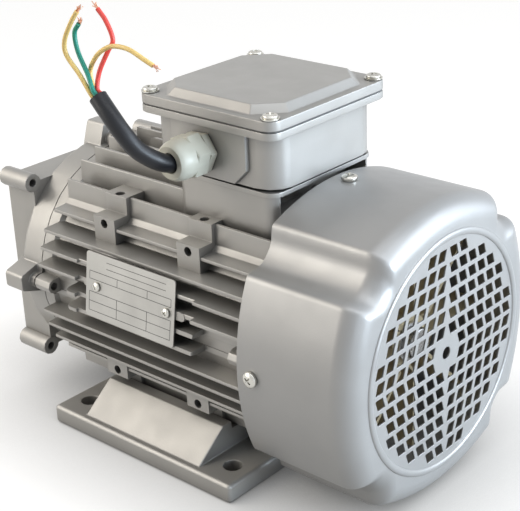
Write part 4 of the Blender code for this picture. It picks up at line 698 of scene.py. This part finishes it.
def grille_outlines(margin):
    """Every hole of the grille in mirrored quarters, and the round one in the middle."""
    outlines = [circle(CENTRE_HOLE + margin, CENTRE_HOLE_STEPS)]
    slope = math.tan(HOLE_LEAN)
    count = math.ceil(GRILLE_REACH / GRILLE_PITCH)
    for row in range(count):
        for column in range(count):
            across = column + 0.5
            up = row + 0.5
            if math.hypot(across, up) * GRILLE_PITCH > GRILLE_REACH or row + column == 0:
                continue
            for sign_y in (-1, 1):
                for sign_z in (-1, 1):
                    place = (sign_y * (across * GRILLE_PITCH + MIDDLE_GAP / 2), sign_z * up * GRILLE_PITCH)
                    outlines.append(leaning(place, -sign_y * sign_z * slope, margin))
    return outlines


def make_cowl():
    """The pressed cowl as one closed sheet, with its holes, raised ring and rounded rear edge."""
    front = COWL_LOW.x
    inner_rear = COWL_REAR - COWL_WALL
    inner_round = COWL_ROUND - COWL_WALL
    lip = COWL_WALL * COWL_LIP_SHARE
    rings = []
    for step in range(COWL_ROUND_STEPS, -1, -1):
        turn = math.pi / 2 * step / COWL_ROUND_STEPS
        inset = COWL_WALL + inner_round * (1 - math.cos(turn))
        rings.append((inset, inner_rear - inner_round * (1 - math.sin(turn))))
    rings += [(COWL_WALL, front + lip), (COWL_WALL - lip, front), (lip, front), (0, front + lip)]
    for step in range(COWL_ROUND_STEPS + 1):
        turn = math.pi / 2 * step / COWL_ROUND_STEPS
        rings.append((COWL_ROUND * (1 - math.cos(turn)), COWL_REAR - COWL_ROUND * (1 - math.sin(turn))))
    skirt = loft([at_level(cowl_section(inset), level) for inset, level in rings])
    ring_outer = circle(RING_RADIUS + RING_WIDTH / 2, RING_STEPS)
    ring_inner = circle(RING_RADIUS - RING_WIDTH / 2, RING_STEPS)
    bead_rings = []
    for step in range(BEAD_STEPS + 1):
        turn = math.pi * step / BEAD_STEPS
        radius = RING_RADIUS + RING_WIDTH / 2 * math.cos(turn)
        bead_rings.append(at_level(circle(radius, RING_STEPS), COWL_REAR + RING_HEIGHT * math.sin(turn)))
    bead = loft(bead_rings)
    wide = grille_outlines(HOLE_EDGE)
    narrow = grille_outlines(0)
    sheets = [skirt, bead]
    sheets.append(fill([cowl_section(COWL_ROUND), ring_outer], COWL_REAR))
    sheets.append(fill([ring_inner, *wide], COWL_REAR))
    sheets.append(fill([cowl_section(COWL_ROUND), *wide], inner_rear))
    for outer, inner in zip(wide, narrow):
        sheets.append(loft([
            at_level(outer, COWL_REAR),
            at_level(inner, COWL_REAR - HOLE_EDGE),
            at_level(inner, inner_rear + HOLE_EDGE),
            at_level(outer, inner_rear),
        ]))
    mesh = welded(sheets)
    mesh.transform(ON_AXIS)
    even_shading(show("fan_cowl_fine", mesh, "cowl_paint", nodes=("fan_cowl",)))


# Screws and rivets


def plus_outline(reach, half):
    """A cross with four square arms."""
    points = []
    for turn in QUARTERS:
        spin = Matrix.Rotation(turn, 2)
        points += [tuple(spin @ Vector(corner)) for corner in ((reach, -half), (reach, half), (half, half))]
    return points


def pan_screw(radius, height, washer_radius, washer_height, length):
    """A screw along local z: a domed head with a cross recess stands on 0, over a washer if it has one."""
    shank = radius * SHANK_SHARE
    side = washer_height + (height - washer_height) * HEAD_SIDE_SHARE
    profile = [(shank, -length), (shank, 0)]
    if washer_radius:
        profile += [(washer_radius, 0), (washer_radius, washer_height)]
    profile.append((radius * HEAD_FOOT_SHARE, washer_height))
    profile.append((radius, washer_height + (side - washer_height) * HEAD_FOOT_RISE))
    for step in range(DOME_STEPS + 1):
        turn = DOME_SWEEP * step / DOME_STEPS
        profile.append((radius * math.cos(turn), side + (height - side) * math.sin(turn)))
    recess = loft([
        at_level(plus_outline(radius * reach, radius * half), height * level)
        for reach, half, level in (RECESS_FLOOR, RECESS_MOUTH)
    ], capped=True)
    return combined(lathe(profile), recess, "DIFFERENCE")


def seat_of(node, axis, head_height):
    """The middle of the seat under a screw's head, and the shank's length, from the solid."""
    points = [vertex.co for vertex in NODES[node].data.vertices]
    heights = [point.dot(axis) for point in points]
    top = max(heights)
    crown = [point for point, height in zip(points, heights) if height > top - CROWN_DEPTH]
    middle = sum(crown, Vector()) / len(crown)
    return middle - axis * head_height, top - head_height - min(heights)


def fine_screw(node, axis, sizes, turn):
    """Replace a plain screw or rivet by one with a domed head."""
    radius, height, solid_height, washer_radius, washer_height = sizes
    seat, length = seat_of(node, axis, solid_height)
    mesh = pan_screw(radius, height, washer_radius, washer_height, length)
    aim = axis.to_track_quat("Z", "Y").to_matrix().to_4x4()
    mesh.transform(Matrix.Translation(seat) @ aim @ Matrix.Rotation(turn, 4, "Z"))
    even_shading(show(f"{node}_fine", mesh, "zinc_steel", nodes=(node,)))


def make_screws():
    """The screws that show on the lid and the cowl, and the nameplate's rivets."""
    up = Vector((0, 0, 1))
    for number, turn in enumerate(LID_SCREW_TURNS, 1):
        fine_screw(f"lid_screw_{number}", up, LID_SCREW, turn)
    for number, turn in enumerate(COWL_SCREW_TURNS, 1):
        node = f"cowl_screw_{number}"
        low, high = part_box(node)
        out = (low + high) / 2 - Vector((0, 0, AXIS_Z))
        axis = up if abs(out.z) > abs(out.y) else Vector((0, math.copysign(1, out.y), 0))
        fine_screw(node, axis, COWL_SCREW, turn)
    normal = plate_axes()[2]
    for number, turn in enumerate(RIVET_TURNS, 1):
        fine_screw(f"nameplate_rivet_{number}", normal, RIVET, turn)


# Nameplate


def plate_axes():
    """The nameplate's middle on its outer face, its upward direction and its normal."""
    mesh = NODES["nameplate"].data
    facing = [face for face in mesh.polygons if face.normal.y < PLATE_FACING]
    outer = max(facing, key=lambda face: face.area)
    normal = outer.normal.copy().normalized()
    upward = normal.cross(Vector((1, 0, 0))).normalized()
    if upward.z < 0:
        upward.negate()
    low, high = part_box("nameplate")
    middle = (low + high) / 2
    face = mesh.vertices[outer.vertices[0]].co
    return middle + normal * (face - middle).dot(normal), upward, normal


def ruled_bar(low, high):
    """A flat bar between two corners, standing a little proud of local z = 0."""
    corners = [(low[0], low[1]), (high[0], low[1]), (high[0], high[1]), (low[0], high[1])]
    return loft([at_level(corners, -RULE_PROUD), at_level(corners, RULE_PROUD)], capped=True)


def make_plate_rules():
    """Plain ruled lines on the nameplate: two for a title and a table with empty cells."""
    half = RULE_WIDTH / 2
    bars = []
    for level in TITLE_LEVELS:
        bars.append(ruled_bar((TITLE_REACH[0], level - half), (TITLE_REACH[1], level + half)))
    for level in TABLE_LEVELS:
        bars.append(ruled_bar((-TABLE_HALF, level - half), (TABLE_HALF, level + half)))
    top, second, third, *_, bottom = TABLE_LEVELS
    for across in (-TABLE_HALF, TABLE_HALF, *TABLE_COLUMNS):
        bars.append(ruled_bar((across - half, second + half), (across + half, top - half)))
        bars.append(ruled_bar((across - half, bottom + half), (across + half, third - half)))
    mesh = welded(bars)
    middle, upward, normal = plate_axes()
    turn = Matrix((Vector((1, 0, 0)), upward, normal)).transposed().to_4x4()
    mesh.transform(Matrix.Translation(middle) @ turn)
    show("nameplate_rules", mesh, "plate_aluminium", look="plate_ink")


# Gland


def make_gland_nut():
    """The gland's nut: a hexagon with a smooth dome towards the cable."""
    turn = math.pi / 2 + NUT_TURN
    hexagon = circle(NUT_HEX, 6, start=turn)
    small = circle(NUT_HEX - NUT_EDGE, 6, start=turn)
    body = loft([
        at_level(small, 0),
        at_level(hexagon, NUT_EDGE),
        at_level(hexagon, NUT_HEX_WIDTH - NUT_EDGE),
        at_level(small, NUT_HEX_WIDTH),
    ], capped=True)
    body = combined(body, lathe(NUT_DOME), "UNION")
    length = NUT_HIGH.y - NUT_LOW.y
    mesh = combined(body, lathe(((NUT_BORE, -NUT_EDGE), (NUT_BORE, length + NUT_EDGE))), "DIFFERENCE")
    foot = Vector((NUT_MIDDLE.x, NUT_HIGH.y, NUT_MIDDLE.z))
    mesh.transform(Matrix.Translation(foot) @ Matrix.Rotation(math.radians(90), 4, "X"))
    even_shading(show("gland_nut_fine", mesh, "ivory_nylon", nodes=("gland_nut",)))


# Cable and leads


def smooth_route(points, step):
    """Points a step apart along a smooth curve through the given ones."""
    ends = [points[0] * 2 - points[1], *points, points[-1] * 2 - points[-2]]
    route = []
    for before, start, end, after in zip(ends, ends[1:], ends[2:], ends[3:]):
        count = max(1, round((end - start).length / step))
        for index in range(count):
            t = index / count
            route.append(0.5 * (2 * start + (end - before) * t
                                + (2 * before - 5 * start + 4 * end - after) * t ** 2
                                + (3 * start - before - 3 * end + after) * t ** 3))
    return route + [points[-1]]


def tube(name, points, radius, look):
    """A round tube along a route, as a curve of one open spline."""
    curve = bpy.data.curves.new(name, "CURVE")
    curve.dimensions = "3D"
    curve.bevel_depth = radius
    curve.bevel_resolution = TUBE_RESOLUTION
    curve.use_fill_caps = True
    spline = curve.splines.new("POLY")
    spline.points.add(len(points) - 1)
    for point, place in zip(spline.points, points):
        point.co = (*place, 1)
    spline.use_smooth = True
    curve.materials.append(LOOKS[look])
    item = bpy.data.objects.new(name, curve)
    bpy.context.scene.collection.objects.link(item)
    return item


def declare_cord(item, node):
    """Let a cord ride on the stator and hide the solid that it stands for."""
    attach(item, "stator")
    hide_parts(node)


def wire(points, radius):
    """A thin wire with closed ends along a few points."""
    rings = []
    for index, point in enumerate(points):
        ahead = points[min(index + 1, len(points) - 1)] - points[max(index - 1, 0)]
        side = ahead.orthogonal().normalized()
        other = side.cross(ahead).normalized()
        rings.append([point + side * x + other * y for x, y in circle(radius, STRAND_SIDES)])
    return loft(rings, capped=True)


def make_strands(name, end, ahead, seed):
    """Frayed copper at a lead's end: thin wires that spread from the cut insulation."""
    chance = random.Random(seed)
    wires = []
    for _ in range(STRANDS):
        lean = Vector((chance.uniform(-1, 1), chance.uniform(-1, 1), chance.uniform(-1, 1))) * STRAND_SPREAD
        root = end + lean.cross(ahead) * LEAD_RADIUS
        length = STRAND_LENGTH * chance.uniform(*STRAND_SHARES)
        middle = root + (ahead + lean * STRAND_ROOT_LEAN).normalized() * length / 2
        tip = middle + (ahead + lean * STRAND_TIP_LEAN).normalized() * length / 2
        wires.append(wire([root - ahead * LEAD_RADIUS, root, middle, tip], STRAND_RADIUS))
    return show(name, welded(wires), "varnished_copper", look="bare_copper")


def make_cable():
    """The cable as it leaves the gland, and the four leads that fan out of its end."""
    knots = [GLAND_MOUTH + Vector(point) for point in ((0, CABLE_INSERT, 0), (0, 0, 0), *CABLE_ROUTE)]
    route = smooth_route(knots, CABLE_RADIUS / 2)
    sheath = tube("cable_sheath_fine", route, CABLE_RADIUS, "black_sheath")
    declare_cord(sheath, "cable_sheath")
    ahead = (knots[-1] - knots[-2]).normalized()
    right = ahead.cross(Vector((0, -1, 0))).normalized()
    near = right.cross(ahead)
    spread = LEAD_RADIUS + LEAD_GAP
    leads = (
        ("lead_yellow_a", "yellow_insulation", (-1, 1), YELLOW_A_ROUTE),
        ("lead_green", "green_insulation", (1, 1), GREEN_ROUTE),
        ("lead_red", "red_insulation", (1, -1), RED_ROUTE),
        ("lead_yellow_b", "yellow_insulation", (-1, -1), YELLOW_B_ROUTE),
    )
    for seed, (name, slot, (side, front), points) in enumerate(leads):
        root = knots[-1] + ahead * LEAD_GAP + (right * side + near * front) * spread
        lead = [root, root + ahead * LEAD_STRAIGHT, *[GLAND_MOUTH + Vector(point) for point in points]]
        path = smooth_route(lead, LEAD_RADIUS / 2)
        item = tube(f"{name}_fine", path, LEAD_RADIUS, slot)
        strands = make_strands(f"{name}_strands", path[-1], (path[-1] - path[-2]).normalized(), seed)
        declare_cord(item, name)


# Stage


def seen_directly(tree):
    """1 for what the camera, reflections and clear materials see, 0 for light on its way."""
    paths = tree.nodes.new("ShaderNodeLightPath")
    seen = paths.outputs["Is Camera Ray"]
    for other in ("Is Glossy Ray", "Is Transmission Ray"):
        either = tree.nodes.new("ShaderNodeMath")
        either.operation = "MAXIMUM"
        tree.links.new(seen, either.inputs[0])
        tree.links.new(paths.outputs[other], either.inputs[1])
        seen = either.outputs[0]
    return seen


def mixed(tree, hidden, visible, output):
    """Show one shader to the camera and another to the light."""
    mix = tree.nodes.new("ShaderNodeMixShader")
    tree.links.new(seen_directly(tree), mix.inputs[0])
    tree.links.new(hidden, mix.inputs[1])
    tree.links.new(visible, mix.inputs[2])
    tree.links.new(mix.outputs[0], output.inputs["Surface"])


def make_floor():
    """A plain pale floor that shows nearly white; the object's shadow falls on its diffuse part, and a
    painted shadow darkens its glow near the object.
    """
    shape = bmesh.new()
    bmesh.ops.create_circle(shape, cap_ends=True, segments=FLOOR_SIDES, radius=FLOOR_RADIUS)
    floor = bpy.data.objects.new("floor", from_bmesh(shape))
    look = Look("pale_floor", FLOOR_COLOUR, FLOOR_ROUGHNESS)
    look.tone(look.noise(scale=3, detail=2), darker=0.995, lighter=1.005)
    glow = look.tree.nodes.new("ShaderNodeEmission")
    glow.inputs["Strength"].default_value = FLOOR_GLOW
    # Painted shadow: ambient occlusion darkens the glow near the object, also in what reflections see
    shade = look.tree.nodes.new("ShaderNodeAmbientOcclusion")
    shade.inputs["Distance"].default_value = FLOOR_SHADE
    look.link(shade.outputs["Color"], glow.inputs["Color"])
    both = look.tree.nodes.new("ShaderNodeAddShader")
    look.link(look.shader.outputs[0], both.inputs[0])
    look.link(glow.outputs[0], both.inputs[1])
    mixed(look.tree, look.shader.outputs[0], both.outputs[0], look.tree.nodes["Material Output"])
    floor.data.materials.append(look.material)
    bpy.context.scene.collection.objects.link(floor)


def make_world():
    """A white room for the camera that gives a dimmer light."""
    world = bpy.data.worlds.new("pale_room")
    world.use_nodes = True
    tree = world.node_tree
    dim = tree.nodes["Background"]
    dim.inputs["Color"].default_value = (*ROOM_COLOUR, 1)
    dim.inputs["Strength"].default_value = ROOM_LIGHT
    white = tree.nodes.new("ShaderNodeBackground")
    white.inputs["Color"].default_value = (1, 1, 1, 1)
    mixed(tree, dim.outputs[0], white.outputs[0], tree.nodes["World Output"])
    bpy.context.scene.world = world


def area_light(name, place, power, colour):
    """A soft square light that points at the object."""
    data = bpy.data.lights.new(name, "AREA")
    data.size = LAMP_SIZE
    data.energy = power
    data.color = colour
    item = bpy.data.objects.new(name, data)
    item.location = place
    item.rotation_euler = (LIGHT_TARGET - Vector(place)).to_track_quat("-Z", "Y").to_euler()
    bpy.context.scene.collection.objects.link(item)


def make_stage():
    """The floor, the room and the lamps."""
    make_floor()
    make_world()
    for lamp in LAMPS:
        area_light(*lamp)
    bpy.context.scene.view_settings.view_transform = "Standard"


make_camera()
make_cable()
dress_nodes()
make_cowl()
make_gland_nut()
make_screws()
make_plate_rules()
for node, width in ROUNDED_EDGES:
    polished(node, width)
for node, width in ROTOR_ROUNDED_EDGES:
    polished(node, width, body="rotor")
make_stage()
